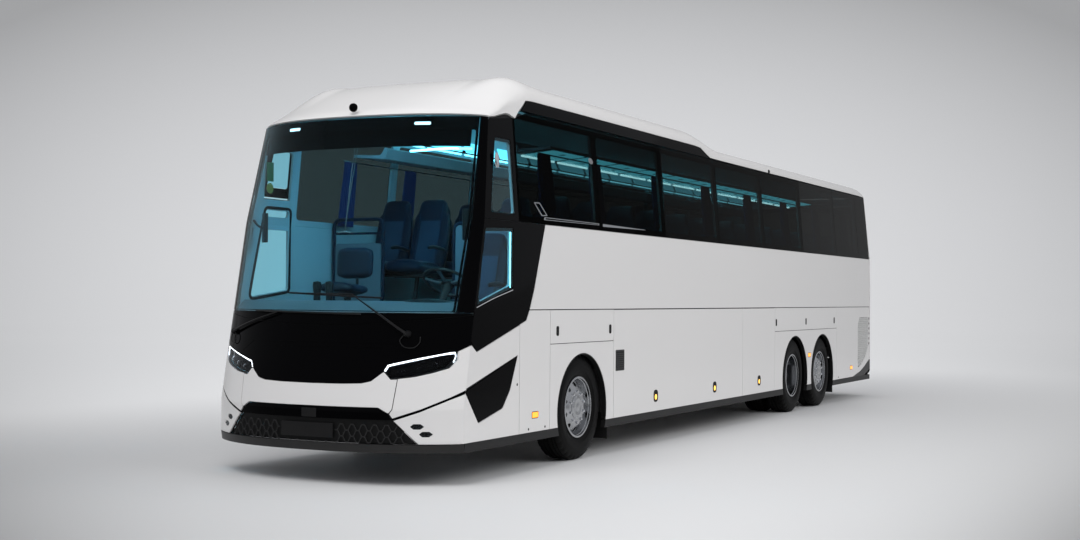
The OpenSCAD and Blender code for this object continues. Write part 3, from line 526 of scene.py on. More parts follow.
def lay(name, parts, look, body="body", slot=None, replaces=()):
    # plates as one piece that rides on a body
    return put(plates(name, parts, look), body, slot or usualSlots[look.name], replaces)


def build(name, parts, look, body="body", slot=None, replaces=(), **more):
    # a joined solid as one piece that rides on a body
    return put(solid(name, parts, look, **more), body, slot or usualSlots[look.name], replaces)


def layOn(name, outlines, look, at, step=None, replaces=(), depth=0.0, thick=0.012, edge=0.0018, holes=None,
          body="body", slot=None):
    # one plate for each outline on a surface, set deeper by depth; holes lists the openings of a plate by its number
    parts = [fillPart(outline, sunk(at, depth), step=step, thick=thick, edge=edge, holes=(holes or {}).get(i, ()))
             for i, outline in enumerate(outlines)]
    return lay(name, parts, look, body, slot, replaces)


def smallLathe(profile, count=24, axis="x", centre=(0, 0, 0)):
    return lathePart(profile, count, centre, axis, closed=False)


# ---- shader node groups, built once and placed in each material with its own values ----

def newGroup(name, inputs, outputs):
    group = bpy.data.node_groups.new(name, "ShaderNodeTree")
    for label, kind, value in inputs:
        s = group.interface.new_socket(name=label, in_out="INPUT", socket_type="NodeSocket" + kind)
        s.default_value = value
    for label, kind in outputs:
        group.interface.new_socket(name=label, in_out="OUTPUT", socket_type="NodeSocket" + kind)
    return group, group.nodes.new("NodeGroupInput"), group.nodes.new("NodeGroupOutput")


def feed(tree, socket, what):
    # another node's output or a plain value
    if hasattr(what, "links"):
        tree.links.new(what, socket)
    else:
        socket.default_value = what


def node(tree, kind, links=(), **values):
    n = tree.nodes.new("ShaderNode" + kind)
    for key, value in values.items():
        setattr(n, key, value)
    for where, what in links:
        feed(tree, n.inputs[where], what)
    return n


def math2(tree, how, a, b, clamp=False):
    return node(tree, "Math", [(0, a), (1, b)], operation=how, use_clamp=clamp).outputs[0]


def mixColour(tree, factor, a, b):
    return node(tree, "Mix", [(0, factor), (6, a), (7, b)], data_type="RGBA").outputs[2]


def makeMottle():
    # slow and fine colour drift with a matching roughness
    g, i, o = newGroup("mottle", [("Colour", "Color", (0.8, 0.8, 0.8, 1)), ("Scale", "Float", 6.0),
                                  ("Drift", "Float", 0.04), ("Roughness", "Float", 0.3), ("Spread", "Float", 0.05)],
                       [("Colour", "Color"), ("Roughness", "Float")])
    where = node(g, "TexCoord").outputs["Object"]
    slow = node(g, "TexNoise", [("Vector", where), ("Scale", i.outputs["Scale"]), ("Detail", 4.0)]).outputs[0]
    fine = node(g, "TexNoise", [("Vector", where), ("Scale", 90.0), ("Detail", 3.0)]).outputs[0]
    both = math2(g, "MULTIPLY", math2(g, "ADD", slow, fine), 0.5)
    swing = math2(g, "MULTIPLY", math2(g, "SUBTRACT", both, 0.5), i.outputs["Drift"])
    bright = math2(g, "ADD", swing, 1.0)
    c = node(g, "VectorMath", [(0, i.outputs["Colour"])], operation="SCALE")
    g.links.new(bright, c.inputs["Scale"])
    g.links.new(c.outputs[0], o.inputs["Colour"])
    rough = math2(g, "MULTIPLY", math2(g, "SUBTRACT", fine, 0.5), i.outputs["Spread"])
    g.links.new(math2(g, "ADD", i.outputs["Roughness"], rough, True), o.inputs["Roughness"])
    return g


def makeDust():
    # road dust that gathers low on the body and in noise patches
    g, i, o = newGroup("roadDust", [("Colour", "Color", (0.8, 0.8, 0.8, 1)), ("Dust", "Color", (0.32, 0.29, 0.25, 1)),
                                    ("Top", "Float", 0.9), ("Amount", "Float", 0.1), ("Roughness", "Float", 0.3)],
                       [("Colour", "Color"), ("Roughness", "Float"), ("Mask", "Float")])
    where = node(g, "TexCoord").outputs["Object"]
    z = node(g, "SeparateXYZ", [(0, where)]).outputs["Z"]
    low = math2(g, "SUBTRACT", 1.0, math2(g, "DIVIDE", z, i.outputs["Top"]), True)
    patch = node(g, "TexNoise", [("Vector", where), ("Scale", 7.0), ("Detail", 6.0), ("Roughness", 0.65)]).outputs[0]
    mask = math2(g, "MULTIPLY", math2(g, "MULTIPLY", low, patch), i.outputs["Amount"], True)
    g.links.new(mixColour(g, mask, i.outputs["Colour"], i.outputs["Dust"]), o.inputs["Colour"])
    g.links.new(math2(g, "ADD", i.outputs["Roughness"], math2(g, "MULTIPLY", mask, 0.5), True), o.inputs["Roughness"])
    g.links.new(mask, o.inputs["Mask"])
    return g


def makeEdgeWear():
    g, i, o = newGroup("edgeWear", [("Colour", "Color", (0.2, 0.2, 0.2, 1)), ("Worn", "Color", (0.4, 0.4, 0.4, 1)),
                                    ("Amount", "Float", 0.5)], [("Colour", "Color"), ("Mask", "Float")])
    sharp = node(g, "NewGeometry").outputs["Pointiness"]
    ramp = node(g, "ValToRGB", [(0, sharp)])
    ramp.color_ramp.elements[0].position, ramp.color_ramp.elements[1].position = 0.52, 0.6
    speck = node(g, "TexNoise", [("Vector", node(g, "TexCoord").outputs["Object"]), ("Scale", 55.0)]).outputs[0]
    mask = math2(g, "MULTIPLY", math2(g, "MULTIPLY", ramp.outputs[0], speck), i.outputs["Amount"], True)
    g.links.new(mixColour(g, mask, i.outputs["Colour"], i.outputs["Worn"]), o.inputs["Colour"])
    g.links.new(mask, o.inputs["Mask"])
    return g


def makeGrain():
    # moulded plastic or leather grain: a height for Bump
    g, i, o = newGroup("grain", [("Scale", "Float", 400.0), ("Depth", "Float", 0.5)], [("Height", "Float")])
    where = node(g, "TexCoord").outputs["Object"]
    cell = node(g, "TexVoronoi", [("Vector", where), ("Scale", i.outputs["Scale"])]).outputs["Distance"]
    speck = node(g, "TexNoise", [("Vector", where), ("Scale", 700.0), ("Detail", 2.0)]).outputs[0]
    g.links.new(math2(g, "MULTIPLY", math2(g, "ADD", cell, speck), i.outputs["Depth"]), o.inputs["Height"])
    return g


def makeWeave():
    # plain weave: two crossed thread waves, as a height and a thread mask
    g, i, o = newGroup("weave", [("Colour", "Color", (0.1, 0.1, 0.1, 1)), ("Thread", "Color", (0.2, 0.2, 0.2, 1)),
                                 ("Scale", "Float", 260.0)], [("Colour", "Color"), ("Height", "Float")])
    where = node(g, "TexCoord").outputs["Object"]
    waves = [node(g, "TexWave", [("Vector", where), ("Scale", i.outputs["Scale"]), ("Distortion", 0.6)],
                  bands_direction=way).outputs["Fac"] for way in "ZX"]
    height = math2(g, "MULTIPLY", math2(g, "ADD", *waves), 0.5)
    blotch = node(g, "TexNoise", [("Vector", where), ("Scale", 9.0), ("Detail", 4.0)]).outputs[0]
    mask = math2(g, "MULTIPLY", height, blotch)
    g.links.new(mixColour(g, mask, i.outputs["Colour"], i.outputs["Thread"]), o.inputs["Colour"])
    g.links.new(height, o.inputs["Height"])
    return g


mottle, roadDust, edgeWear, grain, weave = makeMottle(), makeDust(), makeEdgeWear(), makeGrain(), makeWeave()


def useGroup(tree, group, **values):
    n = tree.nodes.new("ShaderNodeGroup")
    n.node_tree = group
    for key, value in values.items():
        feed(tree, n.inputs[key], value)
    return n


def rgba(c):
    return (c[0], c[1], c[2], 1.0)


def startMaterial(name):
    m = bpy.data.materials.new(name)
    m.use_nodes = True
    t = m.node_tree
    return m, t, t.nodes["Principled BSDF"], t.nodes["Material Output"]


def setPlain(p, plain):
    for key, value in plain.items():
        p.inputs[key].default_value = value


def dressed(name, colour, rough=0.4, drift=0.05, scale=6.0, spread=0.06, dust=0.0, dustTop=1.0, wear=None,
            grainScale=None, bump=0.02, **plain):
    # Principled material: mottled colour, then dust, edge wear and grain where asked for
    m, t, p, _ = startMaterial(name)
    base = useGroup(t, mottle, Colour=rgba(colour), Scale=scale, Drift=drift, Roughness=rough, Spread=spread)
    colourOut, roughOut = base.outputs["Colour"], base.outputs["Roughness"]
    if wear:
        worn = useGroup(t, edgeWear, Colour=colourOut, Worn=rgba(wear), Amount=0.5)
        colourOut = worn.outputs["Colour"]
    if dust:
        d = useGroup(t, roadDust, Colour=colourOut, Top=dustTop, Amount=dust, Roughness=roughOut)
        colourOut, roughOut = d.outputs["Colour"], d.outputs["Roughness"]
    t.links.new(colourOut, p.inputs["Base Color"])
    t.links.new(roughOut, p.inputs["Roughness"])
    if grainScale:
        g = useGroup(t, grain, Scale=grainScale, Depth=0.3)
        b = node(t, "Bump", [("Height", g.outputs["Height"]), ("Strength", 0.4), ("Distance", bump)])
        t.links.new(b.outputs[0], p.inputs["Normal"])
    setPlain(p, plain)
    return m


def clothMaterial(name, colour, thread, scale=260.0):
    # woven cloth with a faint sheen
    m, t, p, _ = startMaterial(name)
    w = useGroup(t, weave, Colour=rgba(colour), Thread=rgba(thread), Scale=scale)
    t.links.new(w.outputs["Colour"], p.inputs["Base Color"])
    b = node(t, "Bump", [("Height", w.outputs["Height"]), ("Strength", 0.35), ("Distance", 0.002)])
    t.links.new(b.outputs[0], p.inputs["Normal"])
    g = useGroup(t, mottle, Colour=rgba(colour), Scale=12.0, Drift=0.1, Roughness=0.85, Spread=0.1)
    t.links.new(g.outputs["Roughness"], p.inputs["Roughness"])
    setPlain(p, {"Sheen Weight": 0.3, "Sheen Roughness": 0.5})
    return m


def glassMaterial(name, tint, through, ior):
    # glass that lets the lamps' light through to what is behind it
    m, t, p, out = startMaterial(name)
    base = useGroup(t, mottle, Colour=rgba(tint), Scale=1.5, Drift=0.03, Roughness=0.02, Spread=0.01)
    t.links.new(base.outputs["Colour"], p.inputs["Base Color"])
    t.links.new(base.outputs["Roughness"], p.inputs["Roughness"])
    setPlain(p, {"Transmission Weight": 1.0, "IOR": ior})
    clear = node(t, "BsdfTransparent", [("Color", rgba(through))])
    ray = node(t, "LightPath")
    mix = node(t, "MixShader", [(0, ray.outputs["Is Shadow Ray"]), (1, p.outputs[0]), (2, clear.outputs[0])])
    t.links.new(mix.outputs[0], out.inputs["Surface"])
    return m


def glowMaterial(name, colour, strength, base=(0.8, 0.8, 0.8)):
    # a lit diffuser: its glow falls off a little in slow patches
    m, t, p, _ = startMaterial(name)
    g = useGroup(t, mottle, Colour=rgba(colour), Scale=20.0, Drift=0.06, Roughness=0.3, Spread=0.05)
    t.links.new(g.outputs["Colour"], p.inputs["Emission Color"])
    t.links.new(g.outputs["Roughness"], p.inputs["Roughness"])
    setPlain(p, {"Base Color": rgba(base), "Emission Strength": strength})
    return m


paintWhite = dressed("paintWhite", (0.735, 0.722, 0.712), rough=0.2, drift=0.012, scale=1.2, spread=0.03, dust=0.05,
                     dustTop=0.75, **{"Coat Weight": 0.25, "Coat Roughness": 0.04, "Specular IOR Level": 0.25})
glossBlack = dressed("glossBlack", (0.0012, 0.0012, 0.0015), rough=0.05, drift=0.2, spread=0.02,
                     **{"Specular IOR Level": 0.03})
satinBlack = dressed("satinBlack", (0.007, 0.007, 0.0075), rough=0.4, drift=0.2, dust=0.06, dustTop=0.7,
                     grainScale=320.0, bump=0.0003, **{"Specular IOR Level": 0.35})
darkTrim = dressed("darkTrim", (0.0045, 0.0045, 0.005), rough=0.5, drift=0.2, dust=0.03, dustTop=0.8,
                   wear=(0.05, 0.05, 0.05), **{"Specular IOR Level": 0.2})
rubberBlack = dressed("rubberBlack", (0.005, 0.005, 0.005), rough=0.62, drift=0.3, grainScale=220.0, bump=0.0005,
                      **{"Specular IOR Level": 0.2})
tyreRubber = dressed("tyreRubber", (0.0018, 0.0018, 0.0019), rough=0.55, drift=0.35, scale=20.0, dust=0.012,
                     dustTop=0.7, grainScale=260.0, bump=0.0005, **{"Specular IOR Level": 0.1})
alloyBright = dressed("alloyBright", (0.42, 0.43, 0.445), rough=0.16, drift=0.05, spread=0.1, scale=30.0, dust=0.15,
                      dustTop=0.9, Metallic=1.0)
alloyDull = dressed("alloyDull", (0.38, 0.385, 0.4), rough=0.4, drift=0.1, spread=0.12, scale=30.0, dust=0.3,
                    dustTop=0.9, Metallic=1.0)
chromeTrim = dressed("chromeTrim", (0.7, 0.71, 0.73), rough=0.12, drift=0.05, spread=0.04, Metallic=1.0)
frameSteel = dressed("frameSteel", (0.05, 0.052, 0.056), rough=0.5, drift=0.3, dust=0.6, dustTop=1.2,
                     wear=(0.2, 0.19, 0.18))
axleIron = dressed("axleIron", (0.035, 0.035, 0.037), rough=0.6, drift=0.4, scale=14.0, dust=0.6, dustTop=1.2,
                   wear=(0.15, 0.13, 0.11), grainScale=150.0, bump=0.001)
floorVinyl = dressed("floorVinyl", (0.09, 0.095, 0.105), rough=0.55, drift=0.3, scale=40.0, grainScale=500.0,
                     bump=0.0004)
cabinGrey = dressed("cabinGrey", (0.30, 0.33, 0.35), rough=0.55, drift=0.06, grainScale=420.0, bump=0.0004)
cabinPale = dressed("cabinPale", (0.55, 0.60, 0.62), rough=0.5, drift=0.05, grainScale=420.0, bump=0.0003)
dashGrey = dressed("dashGrey", (0.17, 0.185, 0.21), rough=0.5, drift=0.1, grainScale=520.0, bump=0.0006)
dashBlack = dressed("dashBlack", (0.012, 0.014, 0.016), rough=0.35, drift=0.2, grainScale=520.0, bump=0.0004)
leatherRim = dressed("leatherRim", (0.012, 0.012, 0.013), rough=0.45, drift=0.2, grainScale=380.0, bump=0.0008)
seatCloth = clothMaterial("seatCloth", (0.004, 0.020, 0.052), (0.020, 0.07, 0.13))
seatPattern = clothMaterial("seatPattern", (0.012, 0.030, 0.062), (0.05, 0.11, 0.17), scale=90.0)
seatLeather = dressed("seatLeather", (0.0025, 0.013, 0.030), rough=0.42, drift=0.2, grainScale=300.0, bump=0.0008)
curtainCloth = clothMaterial("curtainCloth", (0.008, 0.022, 0.10), (0.02, 0.06, 0.22), scale=180.0)
# three copies of one tinted glass that differ only in IOR: a painted reflection, weakest on the front panes and
# strongest on the rear
sideGlass, sideGlassFront, sideGlassRear = [
    glassMaterial(name, (0.05, 0.056, 0.054), (0.05, 0.06, 0.06), ior=ior)
    for name, ior in (("sideGlass", 1.062), ("sideGlassFront", 1.035), ("sideGlassRear", 1.088))]
# the strong teal of this glass is partly its own tint and partly painted cyan cabin light seen through it; its darker
# teal shadow-ray colour dims and tints the lamps' light inside
clearGlass = glassMaterial("clearGlass", (0.50, 0.80, 0.88), (0.16, 0.28, 0.31), ior=1.14)
lampClear = glassMaterial("lampClear", (0.80, 0.84, 0.88), (0.5, 0.52, 0.55), ior=1.12)
lampRed = dressed("lampRed", (0.35, 0.012, 0.012), rough=0.12, drift=0.1,
                  **{"Coat Weight": 0.6, "Coat Roughness": 0.05})
lampAmber = glowMaterial("lampAmber", (1.0, 0.33, 0.03), 1.6, base=(0.8, 0.25, 0.02))
lampYellow = glowMaterial("lampYellow", (1.0, 0.55, 0.10), 1.6, base=(0.8, 0.45, 0.05))
lampWhite = glowMaterial("lampWhite", (0.86, 0.93, 1.0), 2.2)
cabinGlow = glowMaterial("cabinGlow", (0.22, 0.80, 1.0), 4.5)
panelGlow = glowMaterial("panelGlow", (0.12, 0.72, 0.92), 3.4)
lineGlow = glowMaterial("lineGlow", (0.50, 0.92, 1.0), 9.0)
meshGrey = dressed("meshGrey", (0.56, 0.56, 0.55), rough=0.4, drift=0.05, dust=0.1)
meshBed = dressed("meshBed", (0.22, 0.22, 0.22), rough=0.6, drift=0.1, dust=0.2)
coveGlow = glowMaterial("coveGlow", (0.16, 0.72, 0.95), 1.9)
stripGrey = dressed("stripGrey", (0.0075, 0.0075, 0.008), rough=0.45, drift=0.2, dust=0.05, dustTop=0.5,
                    grainScale=260.0, bump=0.0003, **{"Specular IOR Level": 0.2})
screenGlow = glowMaterial("screenGlow", (0.12, 0.42, 0.75), 0.8, base=(0.02, 0.05, 0.08))
print("materials ready")


# ---- side walls ----

wallLook = dict(gap=0.003, thick=0.009, edge=0.0016, front=1.44, quarter=2.047, flap=3.492, panel=8.791,
                panelEnd=11.847, rear=12.97, end=13.846, wheel=1.142, band=2.246, glassLow=2.253, glassTop=3.262)
windowSeams = [1.41 + 10.42 * i / 6 for i in range(7)] + [13.138]
leftSide, rightSide = sideAt(1), sideAt(-1)
low, g = coach["skirt"] + 0.004, wallLook["gap"]
underCrease, overCrease, band = coach["crease"] - 0.004, coach["crease"] + 0.005, wallLook["band"]
glassLow, glassTop = wallLook["glassLow"], wallLook["glassTop"]
doorBack = 1.455


def past(key):
    return wallLook[key] + g


def upTo(key):
    return wallLook[key] - g


def noseLine(z, inset):
    return float(noseEdge(z)) + inset, z


def seamLine(z0, z1, inset, count=8):
    # the wall's front edge where it meets the nose, from z0 to z1
    return [noseLine(z, inset) for z in np.linspace(z0, z1, count)]


def arches(z0, extra, *axles):
    # the wheel arches between their feet at height z0, nose side first
    out = []
    for axle in axles:
        radius = coach["archRadius" if axle == "frontAxle" else "rearArchRadius"] + extra
        w = math.asin((z0 - coach["archHeight"]) / radius)
        out += [(coach[axle] + radius * math.cos(k), coach["archHeight"] + radius * math.sin(k))
                for k in np.linspace(math.pi - w, w, 37)]
    return out


def skinParts(outlines, at, radius=0.004, holes=None, step=None):
    return [fillPart(rounded(o, radius), at, holes=(holes or {}).get(i, ()), thick=wallLook["thick"],
                     edge=wallLook["edge"], step=step) for i, o in enumerate(outlines)]


wedge = [(0.476, 0.784), (1.397, 1.051, 0.004), (1.262, 0.762, 0.02), (1.127, 0.612, 0.05), (0.705, 0.515, 0.02)]
rearLowEdge = [(12.80, 0.356), (13.03, 0.392), (13.25, 0.425), (13.50, 0.49), (13.70, 0.56), (13.846, 0.605)]
grilleHole = rounded([(13.10, 0.475), (13.33, 0.535), (13.58, 0.66), (13.72, 0.80), (13.77, 1.29), (13.20, 1.295),
                      (13.10, 1.20)], 0.06)
frontQuarter = (
    [noseLine(low, g), (upTo("front"), low), (upTo("front"), 1.3255), (0.663, 1.108, 0.012), (0.575, 1.168)]
    + seamLine(1.155, 0.81, g, 5) + [(1.407, 1.062, 0.004), (1.268, 0.757, 0.02), (1.131, 0.604, 0.05),
                                     (0.699, 0.505, 0.02)] + seamLine(0.765, 0.42, g, 4))
secondQuarter = [(past("front"), low), (upTo("quarter"), low), (upTo("quarter"), underCrease), (1.629, underCrease),
                 (1.564, 1.366, 0.01), (past("front"), 1.331)]
wheelPanels = [
    rectangle(past("quarter"), past("wheel"), upTo("flap"), underCrease),
    [(past("quarter"), low)] + arches(low, 0.004, "frontAxle")
    + [(upTo("flap"), low), (upTo("flap"), upTo("wheel")), (past("quarter"), upTo("wheel"))],
    rectangle(past("panel"), past("wheel"), upTo("panelEnd"), underCrease),
    [(past("panel"), low)] + arches(low, 0.004, "driveAxle", "tagAxle")
    + [(upTo("panelEnd"), low), (upTo("panelEnd"), upTo("wheel")), (past("panel"), upTo("wheel"))],
    [(past("panelEnd"), low)] + rearLowEdge + [(wallLook["end"], underCrease), (past("panelEnd"), underCrease)]]
upperRear = rectangle(past("rear"), overCrease, wallLook["end"], band)
slopeFoot = [(1.932, band), (1.717, 1.644, 0.02)]
leftSkins = [secondQuarter] + wheelPanels + [
    [(1.633, overCrease), (upTo("rear"), overCrease), (upTo("rear"), band)] + slopeFoot, upperRear, frontQuarter]
rightSkins = [[(1.457, low)] + secondQuarter[1:5] + [(1.457, 1.336)]] + wheelPanels + [
    [(1.633, overCrease), (7.954, overCrease), (7.954, band)] + slopeFoot,
    rectangle(8.727, overCrease, upTo("rear"), band), rectangle(7.960, 2.228, 8.721, band), upperRear,
    rectangle(7.903, low, 7.954, underCrease), rectangle(8.727, low, upTo("panel"), underCrease)]


def makeLiners(name, at, openings):
    # dark backing that shows in the seams, and the pale cabin lining inside it
    foot, archGap = 0.36, 0.012
    lower = ([noseLine(foot, 0.01)] + arches(foot, archGap, "frontAxle") + [(8.75, foot)]
             + arches(foot, archGap, "driveAxle", "tagAxle") + [(12.80, foot), (13.84, 0.62), (13.84, 2.249)]
             + seamLine(2.249, 0.7, 0.01))
    upper = ([noseLine(2.251, 0.01), (13.82, 2.251), (13.77, 3.24), (1.15, 3.24), (1.02, 3.15)]
             + [noseLine(z, 0.02) for z in (3.0, 2.7)])
    windows = [roundRect(0.95, 2.32, 1.35, 2.95, 0.04)]
    windows += [roundRect(windowSeams[i] + 0.06, 2.31, windowSeams[i + 1] - 0.06, 3.19, 0.05) for i in range(7)]
    for kind, look, lowRow, highRow in (("backing", darkTrim, (0.010, 0.005, 0.0005), (0.014, 0.004, 0.0005)),
                                        ("lining", cabinPale, (0.016, 0.028, 0.004), (0.019, 0.026, 0.006))):
        lay(f"{name}_{kind}", [fillPart(outline, sunk(at, depth), holes=holes, thick=thick, edge=edge)
                               for outline, holes, (depth, thick, edge) in
                               ((lower, [grilleHole] + openings, lowRow), (upper, windows, highRow))], look)


lay("left_wall_skins", skinParts(leftSkins, leftSide, holes={5: [grilleHole]}), paintWhite, replaces=["left_wall"])
makeLiners("left_wall", leftSide, [rounded([(0.70, 1.53), (1.27, 1.68), (1.27, 2.16), (0.80, 2.14)], 0.03),
                                   rectangle(3.53, 0.40, 7.44, 1.42), rectangle(7.53, 0.40, 8.75, 1.42)])
makeLiners("right_wall", rightSide, [rectangle(0.80, 0.40, doorBack, 2.20), rectangle(7.955, 0.40, 8.725, 2.215),
                                     rectangle(3.53, 0.40, 5.66, 1.42), rectangle(5.74, 0.40, 7.86, 1.42)])
lay("right_wall_skins", skinParts(rightSkins, rightSide, holes={5: [grilleHole]}), paintWhite,
    replaces=["right_wall"])
jamb = ([noseLine(low, g), noseLine(low, 0.042)] + seamLine(0.5, 1.13, 0.042, 6) + seamLine(1.13, 0.45, g, 6))
lay("right_wall_door_jamb", skinParts([jamb], rightSide, radius=0.002), paintWhite)

# flaps: one long bay cover each, swinging up about their top edges
for side, part, at, y0, y1 in (("left", "front", leftSide, 3.495, 7.477), ("left", "rear", leftSide, 7.483, 8.788),
                               ("right", "front", rightSide, 3.495, 5.697), ("right", "rear", rightSide, 5.703, 7.897)):
    name, body = f"{side}_{part}_flap", f"flap_{side}_{part}"
    lay(name + "_cover", skinParts([rectangle(y0, low, y1, 1.4555)], at), paintWhite, body, replaces=[name])
    start, bay = y0 + 0.06, y1 - y0 - 0.12
    ribs = [roundRect(start + bay * k / 4 + 0.03, 0.45, start + bay * (k + 1) / 4 - 0.03, 1.36, 0.05) for k in range(4)]
    layOn(name + "_frame", [roundRect(y0 + 0.035, 0.375, y1 - 0.035, 1.43, 0.02)], frameSteel, at, depth=0.011,
          holes={0: ribs}, thick=0.024, edge=0.003, body=body)
print("walls and flaps done")


# ---- black glazing of the front sides and the wedges ----

def frontGlazing(name, at, door):
    slope = [(1.5585, 1.3685), (1.6225, 1.4645), (1.7095, 1.646), (1.9235, band)]
    headEnd = [(windowSeams[0] - g, 3.180), (0.99, 3.131)]
    pane = rounded([(noseLine(1.50, 0.035)[0], 1.503), (1.300, 1.655), (1.300, 2.190),
                    (noseLine(2.17, 0.04)[0], 2.172)], 0.02)
    if door:
        blacks = skinParts([[(doorBack + g, 1.343)] + slope + [(doorBack + g, band)],
                            seamLine(1.14, band, 0.042) + seamLine(band, 1.14, g)], at, radius=0.002)
        headBlack = seamLine(3.10, 2.508, g, 6) + [(windowSeams[0] - g, 2.508)] + headEnd
        quarter = rounded([(1.02, 2.60), (1.345, 2.60), (1.345, 2.98), (1.10, 2.98)], 0.03)
        clears = [quarter]
    else:
        blacks = skinParts([[(0.668, 1.1165, 0.01)] + slope + seamLine(band, 1.20, g) + [(0.60, 1.165)]], at,
                           holes={0: [pane]})
        headBlack = [noseLine(glassLow, g), (windowSeams[0] - g, glassLow)] + headEnd + seamLine(3.10, 2.4, g, 6)
        quarter = rounded([(0.90, 2.31), (1.345, 2.31), (1.345, 2.98), (1.06, 2.98)], 0.03)
        clears = [quarter, pane]
    lay(name + "_glazing", blacks, glossBlack)
    lay(name + "_glazing_head", skinParts([headBlack], at, holes={0: [quarter]}), glossBlack)
    layOn(name + "_quarter_glass", [offsetLoop(loop, 0.004) for loop in clears], clearGlass, at, depth=0.002,
          thick=0.005, edge=0.0008)
    if not door:
        line = [spotOn(at, y, z, -0.001) + [-0.004, 0, 0] for y, z in
                curved([(noseLine(1.49, 0.03)[0], 1.487), (0.95, 1.565), (1.302, 1.641)], 20)]
        build(name + "_window_strip", [tubePart(line, 0.005, 8)], chromeTrim)
        rail = curved([spotOn(at, 1.262, z, 0.012) for z in (1.66, 2.15)], 8)
        build(name + "_window_lights", [tubePart(rail, 0.006, 8)], cabinGlow)


frontGlazing("left_front", leftSide, False)
frontGlazing("right_front", rightSide, True)
lay("left_lower_wedge", skinParts([wedge], leftSide), glossBlack)

# side windows: tinted panes with thin seams, running into a lighter end piece; the three pane groups use copies of one
# glass whose IOR rises towards the rear, a painted reflection that makes the rear panes lighter
seam = g * 0.7
end = float(tailBack(2.25)) - 0.15
panes = [rectangle(windowSeams[i] + seam, glassLow, windowSeams[i + 1] - seam, glassTop) for i in range(7)]
panes[0][3:] = [(1.70, glassTop), (1.47, 3.187), (panes[0][0][0], 3.181)]
panes.append([(windowSeams[7] + seam, glassLow), (end - 0.10, glassLow, 0.03), (end - 0.035, 2.36, 0.08),
              (end - 0.05, glassTop), (windowSeams[7] + seam, glassTop)])
for name, at in (("left_windows", leftSide), ("right_windows", rightSide)):
    for part, look, picks in (("front", sideGlassFront, panes[:2]), ("middle", sideGlass, panes[2:5]),
                              ("rear", sideGlassRear, panes[5:])):
        layOn(f"{name}_{part}_panes", [rounded(p, 0.003) for p in picks], look, at, thick=0.006, edge=0.001,
              replaces=[name])
print("side glass done")


# ---- nose ----

nosePlates = partial(layOn, at=noseAt, step=0.035)


def onNose(points, radius=0.0, parts=5):
    # outline given as (x, z[, radius]) turned into arc coordinates
    return rounded([(noseA(p[0], p[1]),) + tuple(p[1:]) for p in points], radius, parts)


def swapped(points):
    return [(-p[0],) + tuple(p[1:]) for p in reversed(points)]


def mirrored(points):
    # closes a right-hand outline, given from the middle bottom round to the middle top, with its mirror
    return points + swapped(points)


def noseSpot(x, z, depth):
    return spotOn(noseAt, noseA(x, z), z, depth)


def nosePath(points, depth, count=40):
    return [noseSpot(x, z, depth) for x, z in curved(points, count)]


cornerX = coach["halfWidth"] - 0.0002
seamZ = lambda x: 1.328 + 0.085 * (x / 1.2) ** 2
seamX = [0, 0.3, 0.6, 0.85, 1.05, 1.17, 1.235, 1.262, cornerX]
fasciaSide = [(0, 0.8435), (0.30, 0.846), (0.50, 0.853, 0.05), (0.585, 0.872, 0.04), (0.668, 0.938, 0.02),
              (0.708, 1.006), (0.95, 1.064), (1.198, 1.122), (1.245, 1.150), (cornerX, 1.172)]
fasciaLow = mirrored(fasciaSide + [(x, seamZ(x) - 0.003) for x in reversed(seamX)])
fasciaHigh = mirrored([(x, seamZ(x) + 0.003) for x in seamX]
                      + [(x, 1.436) for x in (cornerX, 1.25, 1.1, 0.7, 0.3, 0)])
nosePlates("front_fascia_panel", [onNose(fasciaLow), onNose(fasciaHigh)], glossBlack, replaces=["front_fascia"])

lampEdge = [(0.745, 0.889, 0.012), (0.93, 0.914), (1.06, 0.948), (1.160, 0.986, 0.02), (1.207, 1.053, 0.02),
            (1.203, 1.117)]
upperBumper = [(0, 0.654), (0.668, 0.654, 0.02), (0.752, 0.606, 0.01), (0.7785, 0.640), (0.796, 0.885),
               (0.745, 0.882, 0.012), (0.683, 0.946, 0.01), (0.664, 0.932, 0.02), (0.583, 0.866, 0.04),
               (0.50, 0.847, 0.05), (0.30, 0.840), (0, 0.8375)]
cornerBumper = [(0.7845, 0.638), (0.760, 0.602), (0.785, 0.566), (0.992, 0.641), (1.186, 0.739), (cornerX, 0.800),
                (cornerX, 1.166), (1.245, 1.1435), (1.2085, 1.118), (1.2125, 1.050, 0.02), (1.165, 0.980, 0.02),
                (1.06, 0.941), (0.93, 0.907), (0.802, 0.889)]
lowerCorner = [(0.795, 0.546), (0.992, 0.618), (1.186, 0.716), (cornerX, 0.766), (cornerX, low), (0.985, low)]
slash = [(0.79, 0.549), (0.992, 0.621), (1.186, 0.719), (cornerX, 0.769), (cornerX, 0.797), (1.186, 0.736),
         (0.992, 0.638), (0.783, 0.562)]
sixth = np.arange(6) * math.pi / 3
fogs = [onNose([(x + half * math.cos(t), z + 0.026 * math.sin(t)) for t in sixth], 0.004)
        for x, z, half in ((0.972, 0.499, 0.052), (1.036, 0.436, 0.05))]
fogsLeft = [f * [-1, 1] for f in fogs]
nosePlates("front_bumper_panels", [onNose(p) for p in (mirrored(upperBumper), cornerBumper, swapped(cornerBumper),
                                                       lowerCorner, swapped(lowerCorner))], paintWhite,
           replaces=["front_bumper"], step=0.022, holes={3: fogs, 4: fogsLeft})
nosePlates("front_bumper_slash", [onNose(slash), onNose(swapped(slash))], glossBlack, depth=0.004)
lampBack = lampEdge + [(0.715, 1.0), (0.70, 0.95)]
backing = [(0, 0.66), (0.72, 0.66), (0.80, 0.56), (0.99, 0.36), (cornerX, 0.36), (cornerX, 1.43), (0, 1.43)]
